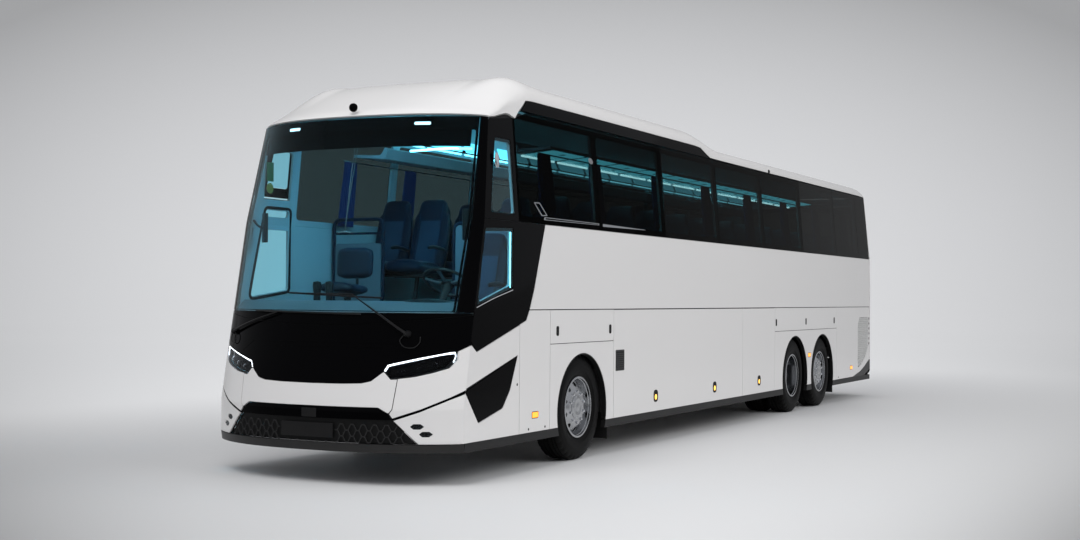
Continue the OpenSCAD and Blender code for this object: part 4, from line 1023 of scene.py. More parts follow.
nosePlates("front_panel_backing", [onNose(mirrored(backing))], darkTrim, depth=0.014, thick=0.02, step=0.05,
           holes={0: [onNose(swapped(lampBack)), onNose(lampBack)]})
lip = [(0, 0.277), (1.0, 0.277), (cornerX, 0.277), (cornerX, 0.3485), (0.985, 0.3485), (0, 0.3485)]
nosePlates("front_lip", [onNose(mirrored(lip))], satinBlack, replaces=["lower_grille"], thick=0.05)
nosePlates("front_fog_lamps", fogs + fogsLeft, lampClear, depth=0.006, thick=0.006, step=0.02)
nosePlates("front_fog_reflectors", fogs + fogsLeft, chromeTrim, depth=0.016, thick=0.006, step=0.02)

# headlamps: dark bowl, lenses, lit blade along the upper edge, clear cover
cover = lampEdge + [(0.719, 1.001, 0.006), (0.694, 0.950, 0.006)]
covers = [onNose(cover), onNose(swapped(cover))]
nosePlates("headlamp_covers", covers, lampClear, replaces=["headlights"], thick=0.004)
nosePlates("headlamp_bowls", [offsetLoop(c, 0.002) for c in covers], glossBlack, slot="black_trim", depth=0.045,
           thick=0.01)
blade = [(0.692, 0.953), (0.712, 0.990), (0.735, 1.002), (0.95, 1.055), (1.10, 1.092), (1.193, 1.107)]
bladeTail = [(1.193, 1.107), (1.199, 1.075), (1.188, 1.03)]
lensProfile = [(-0.012, 0), (-0.010, 0.012), (-0.004, 0.020), (0.004, 0.0235), (0.012, 0.024), (0.012, 0)]
for side, name in ((1, "left"), (-1, "right")):
    parts = [tubePart(nosePath(blade, 0.012), 0.0085, 8), tubePart(nosePath(bladeTail, 0.012, 12), 0.005, 8)]
    build(name + "_running_light", [moved(p, mirror=side < 0) for p in parts], lampWhite)
    build(name + "_headlamp_lenses", [smallLathe(lensProfile, 28, "y", noseSpot(x, z, 0.03) * [side, 1, 1])
                                      for x, z in ((0.84, 0.945), (0.96, 0.972), (1.08, 1.005))], lampClear)
print("nose panels done")

# grille: honeycomb bars round a blank plate holder, with the smooth band and its small square sensor
meshLook = dict(cell=0.0988, bar=0.0055, low=0.36, high=0.60, half=1.0, top=0.548)
grilleEdge = mirrored([(0, 0.352), (0.982, 0.352), (0.789, 0.549, 0.01), (0.748, 0.603, 0.01), (0.665, 0.648, 0.02),
                       (0, 0.648)])
grilleLoop = np.array([p[:2] for p in grilleEdge])


def inGrille(p):
    holder = abs(p[0]) < 0.27 and 0.385 < p[1] < 0.515
    return bool(within(np.array([p]), grilleLoop)[0]) and not holder and p[1] < meshLook["top"]


def meshBars():
    w, h = meshLook["cell"], meshLook["cell"] * 0.5
    rows, cols = int((meshLook["high"] - meshLook["low"]) / h) + 2, int(2 * meshLook["half"] / w) + 2
    for r in range(rows):
        z = meshLook["low"] + r * h
        for c in range(cols):
            x = -meshLook["half"] + c * w + (w / 2 if r % 2 else 0)
            joint = (x + w / 4, z)
            for start, end in (((x, z), joint), (joint, (x + w / 2, z + h)), (joint, (x + w / 2, z - h))):
                middle = ((start[0] + end[0]) / 2, (start[1] + end[1]) / 2)
                if inGrille(start) and inGrille(end) and inGrille(middle):
                    yield tubePart([noseSpot(*p, 0.008) for p in (start, end)], meshLook["bar"], 6, up=(0, 1, 0))


build("front_grille_mesh", list(meshBars()), darkTrim)
nosePlates("front_grille_back", [onNose(grilleEdge)], rubberBlack, depth=0.03)
bandEdge = [(0, 0.552), (0.782, 0.552), (0.748, 0.600, 0.01), (0.663, 0.646, 0.02), (0, 0.646)]
nosePlates("front_grille_band", [onNose(mirrored(bandEdge))], glossBlack, depth=0.002)
nosePlates("front_grille_holder", [onNose(rectangle(-0.265, 0.39, 0.265, 0.51), 0.008)], darkTrim, depth=0.002)
nosePlates("front_radar_cover", [onNose(rectangle(-0.05, 0.557, 0.10, 0.632), 0.01)], darkTrim, thick=0.006)
ridges = [tubePart(nosePath([(half * k, z) for k in (-1, -0.5, 0, 0.5, 1)], 0.001), 0.0035, 8)
          for z, half in ((1.18, 0.72), (1.143, 0.64))]
ridges += [moved(tubePart(nosePath([(0.72, 1.18), (0.80, 1.13), (0.87, 1.088)], 0.001, 10), 0.0035, 8), mirror=s < 0)
           for s in (1, -1)]
build("front_fascia_ridges", ridges, glossBlack)


# ---- windscreen with its dark border, blind and lamps; pillars beside it ----

def screenEdge(z):
    share = 0.915 + 0.05 * (z - coach["screenLow"]) / (coach["screenTop"] - coach["screenLow"])
    return share * float(halfWidthAt(z))


def screenLoop(z0, z1, inset, *radius, count=12):
    # the screen's outline between two heights, inset from its side edges
    side = [(screenEdge(z) - inset, z, *radius) for z in np.linspace(z0, z1, count)]
    return onNose(mirrored([(0, z0)] + side + [(0, z1)]))


screenZ = list(np.linspace(1.442, 3.142, 12))
nosePlates("windscreen_glass", [screenLoop(1.442, 3.142, 0.002)], clearGlass, replaces=["windscreen"], thick=0.006,
           step=0.05)
nosePlates("windscreen_border", [screenLoop(1.446, 3.138, 0.006)], glossBlack, depth=0.0075, thick=0.003, step=0.05,
           holes={0: [screenLoop(1.452, 3.02, 0.022, 0.02)]})
nosePlates("windscreen_blind", [screenLoop(2.875, 3.06, 0.03, count=2)], glossBlack, slot="black_trim", depth=0.045,
           thick=0.004, step=0.05)
pillar = ([(screenEdge(z) + 0.002, z) for z in screenZ]
          + [(float(halfWidthAt(z)) - 0.0003, z) for z in reversed(screenZ)])
nosePlates("front_pillar_covers", [onNose(pillar), onNose(swapped(pillar))], glossBlack, replaces=["front_pillars"],
           step=0.04)
nosePlates("roof_marker_lamps", [onNose(rectangle(x - 0.07, 3.062, x + 0.07, 3.088), 0.012) for x in (0.716, -0.63)],
           lampWhite, depth=0.0065, thick=0.001, step=0.03)
print("windscreen done")


# ---- roof ----

roofLook = dict(front=0.602, rise=1.585, bandHigh=0.112, bandLow=0.016, dropStart=6.18, dropEnd=6.50)
roofEnd = float(tailBack(coach["cant"])) - 0.003
bandA, dropA = roofArc - roofLook["bandHigh"], roofArc - roofLook["bandLow"]
roofPlates = partial(layOn, at=roofAt, step=0.055, edge=0.002)

halfRoof = [(roofArc - 0.004, roofLook["front"]), (roofArc + 0.012, 0.80), (roofArc + 0.055, 1.05),
            (roofArc + 0.084, 1.235, 0.02), (bandA, roofLook["rise"], 0.02), (bandA, roofLook["dropStart"], 0.03),
            (dropA, roofLook["dropEnd"], 0.03), (dropA, roofEnd)]
roofPlates("roof_skin", [rounded([(0, roofLook["front"])] + halfRoof + [(0, roofEnd)] + swapped(halfRoof))],
           paintWhite, replaces=["roof_shell"])
sideBand = [(roofArc - 0.002, 1.43), (bandA + 0.004, 1.60), (bandA + 0.004, 6.185), (dropA + 0.004, 6.50),
            (dropA + 0.004, roofEnd), (roofArc - 0.002, roofEnd)]
roofPlates("roof_side_bands", [rounded([(s * a, y) for a, y in sideBand], 0.004) for s in (1, -1)], glossBlack,
           step=0.04)
roofPlates("cabin_ceiling", [rounded(rectangle(0.06 - roofArc, 0.66, roofArc - 0.06, roofEnd - 0.06))], cabinPale,
           depth=0.04, step=0.14)
roofPlates("roof_hatches", [roundRect(-0.38, y, 0.38, y + 0.62, 0.05) for y in (3.6, 10.2)], paintWhite,
           depth=-0.012, step=0.08, thick=0.016, edge=0.005)

# the ball under the roof's front edge, the lenses beside the roof and the camera pods
v, f = smallLathe([(0.014, 0), (0.014, 0.030), (0.008, 0.038), (-0.004, 0.040), (-0.020, 0.036), (-0.034, 0.024),
                   (-0.040, 0.010), (-0.041, 0)], axis="y", centre=(0.024, back(0.618), 3.24))
build("front_roof_camera", [(v, [face[::-1] for face in f])], glossBlack)
lens = smallLathe([(-0.002, 0), (0.0, 0.03), (0.010, 0.028), (0.018, 0.018), (0.020, 0)], 20)
build("roof_side_lenses", [moved(lens, spotOn(roofAt, s * (roofArc - 0.045), 8.75) - [0.006 * s, 0, 0], mirror=s < 0)
                           for s in (1, -1)], glossBlack)


def ventAt(a, y, depth):
    return roofAt(a, y, depth) + np.stack([0 * a, 0 * a, 0.026 * bump((y - 13.28) / 0.42)], -1)


roofPlates("roof_rear_vent", [rounded([(-0.42, 13.02), (0.42, 13.02), (0.30, 13.52), (-0.30, 13.52)], 0.12)],
           satinBlack, at=ventAt, step=0.04, thick=0.02, edge=0.004)


def sidePod(name, y, z, size, look, lean):
    # small rounded camera housing on the left side
    profile = [(-1.2, 0), (-1.1, 0.35), (-0.5, 0.62), (0.3, 0.66), (1, 0.5), (1.3, 0.2), (1.34, 0)]
    v, f = moved(smallLathe([(size * a, size * r) for a, r in profile], axis="z"),
                 turn=Matrix.Rotation(lean, 4, "X"))
    build(name, [(v * [0.32, 1.0, 1.0] + spotOn(leftSide, y, z, -0.022), f)], look)


sidePod("left_camera_pod", 1.03, 2.765, 0.055, chromeTrim, 0.15)
sidePod("left_side_camera", 2.98, 2.93, 0.04, alloyDull, 1.3)
print("roof done")


# ---- tail ----

tailLook = dict(low=0.606, top=3.262)
tailPlates = partial(layOn, at=tailAt, step=0.05)


def tailA(x, z):
    u = x / float(halfWidthAt(z))
    return float(np.sign(u) * np.interp(abs(u), tailU, tailS))


def onTail(points, radius=0.0):
    return rounded([(tailA(p[0], p[1]),) + tuple(p[1:]) for p in points], radius)


def tailSpot(x, z, depth=0.0):
    return spotOn(tailAt, tailA(x, z), z, depth)


edgeX = lambda z: float(halfWidthAt(z)) - 0.0003
hatchOutline = onTail(rectangle(-0.93, 0.643, 0.93, 1.777), 0.05)
hatchHole = onTail(rectangle(-0.936, 0.637, 0.936, 1.783), 0.05)
glassHole = onTail([(-1.024, 2.226), (1.024, 2.226), (0.985, 3.134), (-0.985, 3.134)], 0.06)
glassOutline = onTail([(-1.02, 2.230), (1.02, 2.230), (0.981, 3.130), (-0.981, 3.130)], 0.056)
lampHole = onTail([(0.985, 0.70), (1.235, 0.74), (1.235, 1.50), (1.03, 1.50)], 0.03)
lampHoles = [lampHole, lampHole[::-1] * [-1, 1]]
tailOutline = ([(0, tailLook["low"]), (edgeX(0.7), tailLook["low"])]
               + [(edgeX(z), z) for z in (1.2, 1.8, 2.25, 2.8, tailLook["top"])] + [(0, tailLook["top"])])
tailPlates("rear_wall_skin", [onTail(mirrored(tailOutline))], paintWhite, replaces=["rear_wall"],
           holes={0: [hatchHole, glassHole] + lampHoles})
tailPlates("rear_window_glass", [glassOutline], sideGlass, replaces=["rear_window"], thick=0.006)
tailPlates("rear_window_border", [offsetLoop(glassOutline, 0.004)], glossBlack, depth=0.008, thick=0.004,
           holes={0: [offsetLoop(glassOutline, 0.07)]})
tailPlates("tail_lamp_housings", [offsetLoop(h, 0.003) for h in lampHoles], glossBlack, replaces=["tail_lights"],
           depth=0.012, thick=0.02)
lampRows = ((0.80, 0.07), (0.93, 0.09), (1.06, 0.09), (1.19, 0.09), (1.32, 0.09), (1.43, 0.06))
for kind, look, picks in (("red", lampRed, (0, 3, 4)), ("amber", lampAmber, (2,)), ("clear", lampClear, (1, 5))):
    lenses = [onTail([(s * 1.03, z - h / 2), (s * 1.225, z - h / 2 + 0.01), (s * 1.225, z + h / 2),
                      (s * 1.045, z + h / 2)], 0.02) for s in (1, -1) for z, h in (lampRows[k] for k in picks)]
    tailPlates("tail_lamps_" + kind, lenses, look, step=0.03, edge=0.003)
bumperOutline = [(0, 0.278), (1.0, 0.278), (1.20, 0.33), (edgeX(0.5), 0.42), (edgeX(0.5), 0.598), (0, 0.598)]
tailPlates("rear_bumper_cover", [onTail(mirrored(bumperOutline))], satinBlack, replaces=["rear_bumper"], thick=0.04,
           holes={0: [circleLoop((tailA(0.35, 0.48), 0.48), 0.04, 28)]})
tailPlates("rear_plate_holder", [onTail(rectangle(-0.265, 0.40, 0.265, 0.52), 0.008)], darkTrim, thick=0.004,
           step=0.08)
louvres = [onTail(roundRect(-0.78, z, 0.78, z + 0.034, 0.012)) for z in np.arange(0.74, 1.10, 0.058)]
tailPlates("engine_hatch_cover", [hatchOutline], paintWhite, replaces=["engine_hatch"], body="engine_hatch",
           holes={0: louvres})
tailPlates("engine_hatch_grille", [offsetLoop(hatchOutline, 0.04)], darkTrim, body="engine_hatch", depth=0.016,
           thick=0.02)
build("engine_hatch_handle", [tubePart([tailSpot(x, 0.69, 0.004) for x in np.linspace(-0.09, 0.09, 8)], 0.009, 8)],
      satinBlack, "engine_hatch")
tailPlates("rear_wall_lining", [onTail(mirrored([(0, 0.62), (1.20, 0.62), (1.20, 2.2), (1.13, 3.22), (0, 3.22)]))],
           cabinPale, depth=0.035, step=0.1, holes={0: [onTail(rectangle(-0.90, 0.67, 0.90, 1.75), 0.04), glassHole]})
corner = ([(12.792, 0.3505)] + [(y, z - 0.006) for y, z in rearLowEdge[1:]]
          + [(13.846, 0.44), (13.55, 0.36), (13.42, 0.3505)])
lay("rear_bumper_corners", [fillPart(rounded(corner, 0.004), at, thick=0.04, edge=0.002)
                            for at in (leftSide, rightSide)], satinBlack)
stub = tubePart([tailSpot(1.16, 0.52) + [0, d, 0] for d in (-0.03, -0.012, -0.002)], 0.012, 10)
build("rear_reflex_stubs", [stub, moved(stub, mirror=True)], rubberBlack)
print("tail done")


# ---- doors ----

frontLow = ([(noseLine(low, 0.048)[0], low + 0.008), (1.447, low + 0.008), (1.447, 1.330), (0.668, 1.111, 0.01),
             (0.607, 1.150)] + seamLine(1.10, 0.45, 0.048, 7))
frontPane = rounded([(0.757, 1.536), (0.994, 2.41), (1.382, 2.41), (1.382, 1.61)], 0.03)
frontBlack = [(0.674, 1.119, 0.01), (1.447, 1.3375), (1.447, 2.494)] + seamLine(2.494, 1.17, 0.048, 10)
lay("front_door_skin", skinParts([frontLow], rightSide), paintWhite, "front_door_leaf", replaces=["front_door"])
lay("front_door_glazing", skinParts([frontBlack], rightSide, holes={0: [frontPane]}, step=0.06), glossBlack,
    "front_door_leaf")
layOn("front_door_pane", [offsetLoop(frontPane, -0.006)], clearGlass, rightSide, 0.06, ["front_door_glass"], 0.012,
      thick=0.006, edge=0.001, body="front_door_leaf")
midPane = rounded([(8.05, 1.25), (8.05, 2.13), (8.63, 2.13), (8.63, 1.25)], 0.04)
lay("mid_door_skin", skinParts([rectangle(7.963, low + 0.008, 8.717, 2.217)], rightSide, holes={0: [midPane]}),
    paintWhite, "mid_door_leaf", replaces=["mid_door"])
layOn("mid_door_pane", [rounded([(8.044, 1.244), (8.044, 2.136), (8.636, 2.136), (8.636, 1.244)], 0.04)], clearGlass,
      rightSide, None, ["mid_door_glass"], 0.012, thick=0.006, edge=0.001, body="mid_door_leaf")
frontLight = rounded([(0.79, 1.56), (1.00, 2.385), (1.355, 2.385), (1.355, 1.63)], 0.03)
knuckle = smallLathe([(0, 0), (0, 0.029), (0.002, 0.030), (0.028, 0.030), (0.030, 0.029), (0.030, 0.012),
                      (0.068, 0.012), (0.070, 0.010), (0.070, 0)], 28, "z")
for name, frameLoop, light, lower, hinge in (
        ("front_door", [noseLine(z, 0.055) for z in np.linspace(0.37, 2.485, 10)] + [(1.44, 2.485), (1.44, 0.37)],
         frontLight, [(0.66, 0.46), (1.36, 0.46), (1.36, 1.18), (0.74, 1.06)], 1.40),
        ("mid_door", rectangle(7.975, 0.37, 8.705, 2.205),
         rounded([(8.07, 1.27), (8.07, 2.11), (8.61, 2.11), (8.61, 1.27)], 0.03), rectangle(8.07, 0.46, 8.61, 1.15),
         8.67)):
    body, lower, pivot = name + "_leaf", rounded(lower, 0.06), back(hinge - 0.466)
    layOn(name + "_frame", [frameLoop], cabinPale, rightSide, depth=0.0195, holes={0: [light, lower]}, thick=0.024,
          edge=0.004, body=body)
    layOn(name + "_inner_panel", [offsetLoop(lower, 0.01)], cabinGrey, rightSide, depth=0.030, thick=0.006,
          edge=0.002, body=body)
    brackets = []
    for z in (0.56, 1.11):
        brackets += [boxPart((-1.226, pivot - 0.03, z), (-1.15, pivot + 0.03, z + 0.03)),
                     moved(knuckle, (-1.14, pivot, z))]
    build(name + "_brackets", brackets, frameSteel, body)
seal = [spotOn(rightSide, y, z, 0.0465) for y, z in sampled(offsetLoop(frontLight, -0.022), 0.05)]
build("front_door_seal", [tubePart(seal, 0.013, 8, closed=True)], rubberBlack, "front_door_leaf")
print("doors done")


# ---- small pieces on the sides ----

def sideMarks(name, side, skinAt):
    markPlates = partial(layOn, at=sunk(skinAt, -0.0018), thick=0.004, edge=0.001)
    spot = lambda y, z, d=0.0: spotOn(skinAt, y, z, d - 0.003)
    onSkin = lambda part, y, z, lift: moved(part, spot(y, z) - [lift * side, 0, 0], mirror=side < 0)
    markPlates(name + "_latches", [roundAbout(y, 1.262, 0.028, 0.046, 0.02)
                                   for y in (2.20, 3.40, 8.846, 10.223, 11.696)], rubberBlack, thick=0.003)
    lamp = smallLathe([(-0.004, 0), (-0.004, 0.032), (-0.0015, 0.035), (0.0, 0.030), (0.001, 0)])
    lampFlaps = ((4.617, "front"), (6.464, "front"), (8.132, "rear")) if side > 0 else ((4.617, "front"),
                                                                                         (6.464, "rear"))
    for y, flap in lampFlaps:
        body = f"flap_{name}_{flap}"
        markPlates(f"{name}_marker_bed_{int(y)}", [roundAbout(y, 0.517, 0.062, 0.066, 0.05)], rubberBlack,
                   edge=0.0015, body=body)
        build(f"{name}_marker_lamp_{int(y)}", [onSkin(lamp, y, 0.505, 0.0012)], lampYellow, body)
    ambers = ((1.75, 0.507), (10.397, 0.779), (12.694, 0.505))
    markPlates(name + "_amber_markers", [roundAbout(y, z, 0.058, 0.025, 0.01) for y, z in ambers], lampAmber,
               depth=-0.0009, edge=0.002)
    markPlates(name + "_amber_beds", [roundAbout(y, z, 0.066, 0.032, 0.014) for y, z in ambers], rubberBlack,
               depth=0.0006, thick=0.003)
    body = f"flap_{name}_front"
    markPlates(name + "_louvre_frame", [roundRect(3.54, 0.83, 3.76, 1.045, 0.012)], satinBlack, thick=0.006,
               edge=0.002, holes={0: [roundRect(3.557, 0.847, 3.743, 1.028, 0.006)]}, body=body)
    markPlates(name + "_louvre_bed", [roundRect(3.545, 0.835, 3.755, 1.04, 0.01)], darkTrim, depth=0.001, body=body)
    markPlates(name + "_louvre_slats", [roundRect(3.556, z, 3.744, z + 0.012, 0.003)
                                        for z in np.arange(0.852, 1.018, 0.021)], satinBlack, depth=-0.0002,
               thick=0.003, edge=0.0015, body=body)
    lock = smallLathe([(-0.003, 0), (-0.003, 0.010), (-0.001, 0.012), (0.0, 0.010), (0.0, 0)], 20)
    places = ([(1.395, 0.80)] if side > 0 else []) + [(y, 0.385) for y in (1.62, 1.95, 11.95)]
    build(name + "_locks", [onSkin(lock, y, z, 0.0012) for y, z in places], rubberBlack)
    # rear-quarter mesh: crossed thin bars on a bed
    markPlates(name + "_quarter_bed", [offsetLoop(grilleHole, -0.008)], meshBed, depth=0.012)
    bars = []
    for k in np.arange(-1.0, 2.2, 0.062):
        for way in (1, -1):
            run = np.array([(13.05 + t, 0.46 + k + t if way > 0 else 1.30 - k - t) for t in np.linspace(0, 0.76, 60)])
            inside = run[within(run, offsetLoop(grilleHole, 0.003))]
            if len(inside) > 1:
                bars.append(tubePart([spot(*inside[0], 0.010), spot(*inside[-1], 0.010)], 0.0095, 5, up=(0, 1, 0.2)))
    build(name + "_quarter_mesh", bars, meshGrey)
    stud = smallLathe([(-0.004, 0), (-0.003, 0.022), (0, 0.020), (0.0, 0)], 14)
    build(name + "_quarter_studs", [onSkin(stud, 13.80, z, 0.001) for z in np.linspace(0.86, 1.27, 6)], rubberBlack)
    markPlates(name + "_arch_lips", [arches(0.36, 0.0025, axle) + arches(0.36, -0.010, axle)[::-1]
                                     for axle in ("frontAxle", "driveAxle", "tagAxle")], rubberBlack, depth=0.002,
               thick=0.05, edge=0.002)


sideMarks("left", 1, leftSide)
sideMarks("right", -1, rightSide)
# bright strips and the slanted frame at the foot of the side glass
strips = [((1.716, 2.445), (1.837, 2.448), (1.982, 2.332), (1.859, 2.325), 0.006),
          ((1.90, 2.290), (3.12, 2.300), (3.12, 2.318), (1.915, 2.318), 0.004),
          ((3.21, 2.290), (4.30, 2.303), (4.30, 2.309), (3.21, 2.318), 0.003)]
slits = {0: [rounded([(1.742, 2.436), (1.829, 2.438), (1.955, 2.340), (1.872, 2.334)], 0.005)],
         1: [rounded([(1.93, 2.297), (3.105, 2.305), (3.105, 2.311), (1.94, 2.311)], 0.002)]}
layOn("left_glass_strips", [rounded(s[:4], s[4]) for s in strips], alloyBright, leftSide, depth=-0.0024, holes=slits,
      thick=0.003, edge=0.001)
print("side details done")


# ---- wheels ----

wheelLook = dict(x=1.093, hand=0.222, handRadius=0.0285, nuts=10, nutRing=0.1505, boltRing=0.106, driveBoltRing=0.124,
                 driveNutRing=0.168, twin=0.335, turns=144)
convexDisc = dict(r=(0.0, 0.090, 0.100, 0.150, 0.172, 0.190, 0.222, 0.255, 0.2784),
                  x=(0.114, 0.114, 0.115, 0.115, 0.113, 0.1045, 0.0865, 0.0685, 0.0565))
dishedDisc = dict(r=(0.0, 0.150, 0.170, 0.200, 0.240, 0.2784), x=(-0.1555, -0.1550, -0.1500, -0.1350, -0.1130, -0.0960))


def tyrePart():
    # sidewalls with rings, rounded shoulders, five ribs with grooves between
    side = [(0.113, 0.2855), (0.1325, 0.3275), (0.1345, 0.332), (0.1395, 0.352), (0.1415, 0.3545), (0.1425, 0.3535),
            (0.1445, 0.372), (0.145, 0.396), (0.1448, 0.42), (0.1435, 0.4235), (0.1430, 0.4275), (0.1420, 0.4300),
            (0.1405, 0.447), (0.1385, 0.4525), (0.133, 0.466), (0.1290, 0.4800), (0.1235, 0.4925), (0.1130, 0.5030),
            (0.099, 0.5095)]
    for x in (0.086, 0.047, 0.006):
        side += [(x + 0.004, 0.5110), (x + 0.0025, 0.4990), (x - 0.0025, 0.4990), (x - 0.004, 0.5112)]
    profile = side + [(-x, r) for x, r in side[::-1]]
    v, f = lathePart(profile, wheelLook["turns"])
    # shoulder notches, one in every four steps round
    for k in range(0, wheelLook["turns"], 4):
        for i, (x, r) in enumerate(profile):
            if 0.466 < r < 0.5098 and abs(x) > 0.095:
                v[k * len(profile) + i] *= [0.965, 1 - 0.006 / r, 1 - 0.006 / r]
    v[:, 1:] *= 0.9995
    return v, [face[::-1] for face in f]


def barrelPart():
    flange = [(0.1325, 0.2797), (0.133, 0.283), (0.133, 0.294), (0.1318, 0.2978), (0.129, 0.299), (0.127, 0.2982),
              (0.120, 0.290), (0.112, 0.2846)]
    return lathePart(flange + [(-x, r) for x, r in flange[::-1]]
                     + [(-0.113, 0.2785), (-0.108, 0.2728), (0.108, 0.2728), (0.113, 0.2785)], 96)


def discAt(disc, side, centre):
    def at(a, b, d):
        x = np.interp(np.hypot(a, b), disc["r"], disc["x"]) - d
        return np.stack([centre[0] + side * x, centre[1] + a, centre[2] + b], -1)
    return at


def ringOf(profile, count, radius, turn=0.0):
    # ten small turned pieces round the hub
    angles = (2 * math.pi * (k + turn) / wheelLook["nuts"] for k in range(wheelLook["nuts"]))
    return [smallLathe(profile, count, centre=(0.0, radius * math.cos(t), radius * math.sin(t))) for t in angles]


def nutProfile(x, height):
    return [(x - 0.004, 0), (x - 0.004, 0.0205), (x + 0.002, 0.0205), (x + 0.003, 0.0165), (x + height - 0.010, 0.0155),
            (x + height - 0.003, 0.0130), (x + height, 0.007), (x + height, 0)]


driveHub = [(-0.160, 0.149), (-0.010, 0.149), (0.006, 0.146), (0.014, 0.136), (0.018, 0.118), (0.0195, 0.06),
            (0.0198, 0)]
driveBolt = [(0.012, 0), (0.0125, 0.009), (0.0185, 0.0085), (0.0195, 0.006), (0.0195, 0)]
hubCap = [(0.1045, 0.118), (0.1185, 0.1178), (0.121, 0.114), (0.1225, 0.100), (0.128, 0.094), (0.129, 0.088),
          (0.129, 0.072), (0.1275, 0.068), (0.127, 0.030), (0.128, 0.026), (0.128, 0)]
hubBolt = [(0.118, 0), (0.118, 0.0065), (0.1245, 0.006), (0.126, 0.004), (0.126, 0)]


def makeWheel(name, kind, side, axle, offset=0.0, outer=True):
    sideName = "left" if side > 0 else "right"
    drive = kind == "drive"
    body = f"{kind}_{'wheels' if drive else 'wheel'}_{sideName}"
    plural = "s" if drive else ""
    centre = (side * (wheelLook["x"] - offset), back(coach[axle]), coach["axleHeight"])
    facing = side if outer else -side
    spin = lambda parts: [moved(part, centre, mirror=facing < 0) for part in parts]
    build(name + "_tyre", [moved(tyrePart(), centre, mirror=side < 0)], tyreRubber, body, None,
          [f"{kind}_tyre{plural}_{sideName}"], angle=28)
    build(name + "_barrel", spin([barrelPart()]), alloyBright, body, None, [f"{kind}_rim{plural}_{sideName}"], angle=40)
    disc = dishedDisc if drive else convexDisc
    at = discAt(disc, facing, centre)
    hand, radius = wheelLook["hand"], wheelLook["handRadius"]
    holes = [circleLoop((hand * math.cos(t), hand * math.sin(t)), radius, 24)
             for t in (math.radians(90 + 36 * k) for k in range(10))]
    layOn(name + "_disc", [circleLoop((0, 0), 0.2782, 96)], alloyBright, at, 0.022, edge=0.003, holes={0: holes},
          body=body)
    build(name + "_hole_lips", [tubePart(at(h[:, 0], h[:, 1], -0.0003), 0.0026, 6, closed=True) for h in holes],
          alloyBright, body)
    if not outer:
        return
    if drive:
        build(name + "_hub", spin([smallLathe(driveHub, 72)]), alloyDull, body, angle=40)
        bolts = ringOf(driveBolt, 12, wheelLook["driveBoltRing"])
        nuts = ringOf(nutProfile(-0.150, 0.040), 18, wheelLook["driveNutRing"], 0.5)
    else:
        build(name + "_hub", spin([smallLathe(hubCap, 72)]), alloyBright, body, angle=25)
        bolts = ringOf(hubBolt, 10, wheelLook["boltRing"])
        nuts = ringOf(nutProfile(0.1145, 0.0178), 6, wheelLook["nutRing"], 0.5)
    build(name + "_hub_bolts", spin(bolts), chromeTrim, body)
    build(name + "_nuts", spin(nuts), chromeTrim, body, angle=30)
    x, r = disc["x"][-2] - 0.004, 0.243
    valve = curved([(x, 0.0, r), (x + 0.018, 0.0, r + 0.012), (x + 0.030, 0.0, r + 0.036)], 8)
    build(name + "_valve", spin([tubePart(valve, 0.0035, 8)]), darkTrim, body)


for side, sideName in ((1, "left"), (-1, "right")):
    makeWheel("front_" + sideName, "front", side, "frontAxle")
    makeWheel("tag_" + sideName, "tag", side, "tagAxle")
    makeWheel("drive_outer_" + sideName, "drive", side, "driveAxle")
    makeWheel("drive_inner_" + sideName, "drive", side, "driveAxle", wheelLook["twin"], outer=False)
print("wheels done")

# mud flaps behind the front and tag wheels
mudFlaps = [boxPart((s * 0.93, back(y), foot), (s * 1.255, back(y) + 0.012, top), Matrix.Rotation(-0.06, 4, "X"))
            for y, top, foot in ((3.375, 0.42, 0.155), (11.672, 0.46, 0.17)) for s in (1, -1)]
build("mud_flaps", mudFlaps, rubberBlack, bevel=0.004)


# ---- wipers ----

def wiperParts(pivot, elbow, bladeA, bladeB, hose):
    # arm, blade, the rod between them, the pivot's cap and its hose
    pivot, elbow, bladeA, bladeB = (np.array(p) for p in (pivot, elbow, bladeA, bladeB))
    arm = nosePath([pivot, (pivot + elbow) / 2 + [0, 0.006], elbow], -0.034, 30)
    blade = nosePath([bladeA, (bladeA + bladeB) / 2, bladeB], -0.014, 30)
    rod = nosePath([elbow, elbow * 0.6 + bladeA * 0.4 - [0, 0.001], bladeA], -0.028, 30)
    widths = np.interp(np.linspace(0, 1, 30), [0, 0.12, 0.75, 1], [0.013, 0.011, 0.007, 0.005])
    cap = smallLathe([(-0.018, 0), (-0.018, 0.016), (-0.004, 0.026), (0.022, 0.030), (0.034, 0.030), (0.034, 0)],
                     axis="y", centre=noseSpot(*pivot, -0.03))
    return [tubePart(arm, widths, 8, wide=1.35), tubePart(blade, 0.008, 8, wide=0.8), tubePart(rod, 0.0045, 8), cap,
            tubePart(nosePath(hose, -0.022, 36), 0.0045, 8)]


leftSet = wiperParts((0.819, 1.262), (0.308, 1.593), (-0.348, 1.600), (0.58, 1.561),
                     [(0.800, 1.255), (0.775, 1.205), (0.815, 1.155), (0.885, 1.150), (0.925, 1.190), (0.926, 1.238)])
rightSet = wiperParts((-1.041, 1.252), (-0.437, 1.431), (-0.72, 1.442), (0.412, 1.424),
                      [(-1.035, 1.250), (-0.985, 1.215), (-0.985, 1.165), (-1.035, 1.145), (-1.085, 1.175),
                       (-1.085, 1.225), (-1.05, 1.25)])
build("wiper_arms", leftSet + rightSet, darkTrim, replaces=["wipers"])
print("wipers done")


# ---- closed forms for the cabin ----

def turnedFace(face, flip):
    return (face[0],) + face[:0:-1] if flip else face


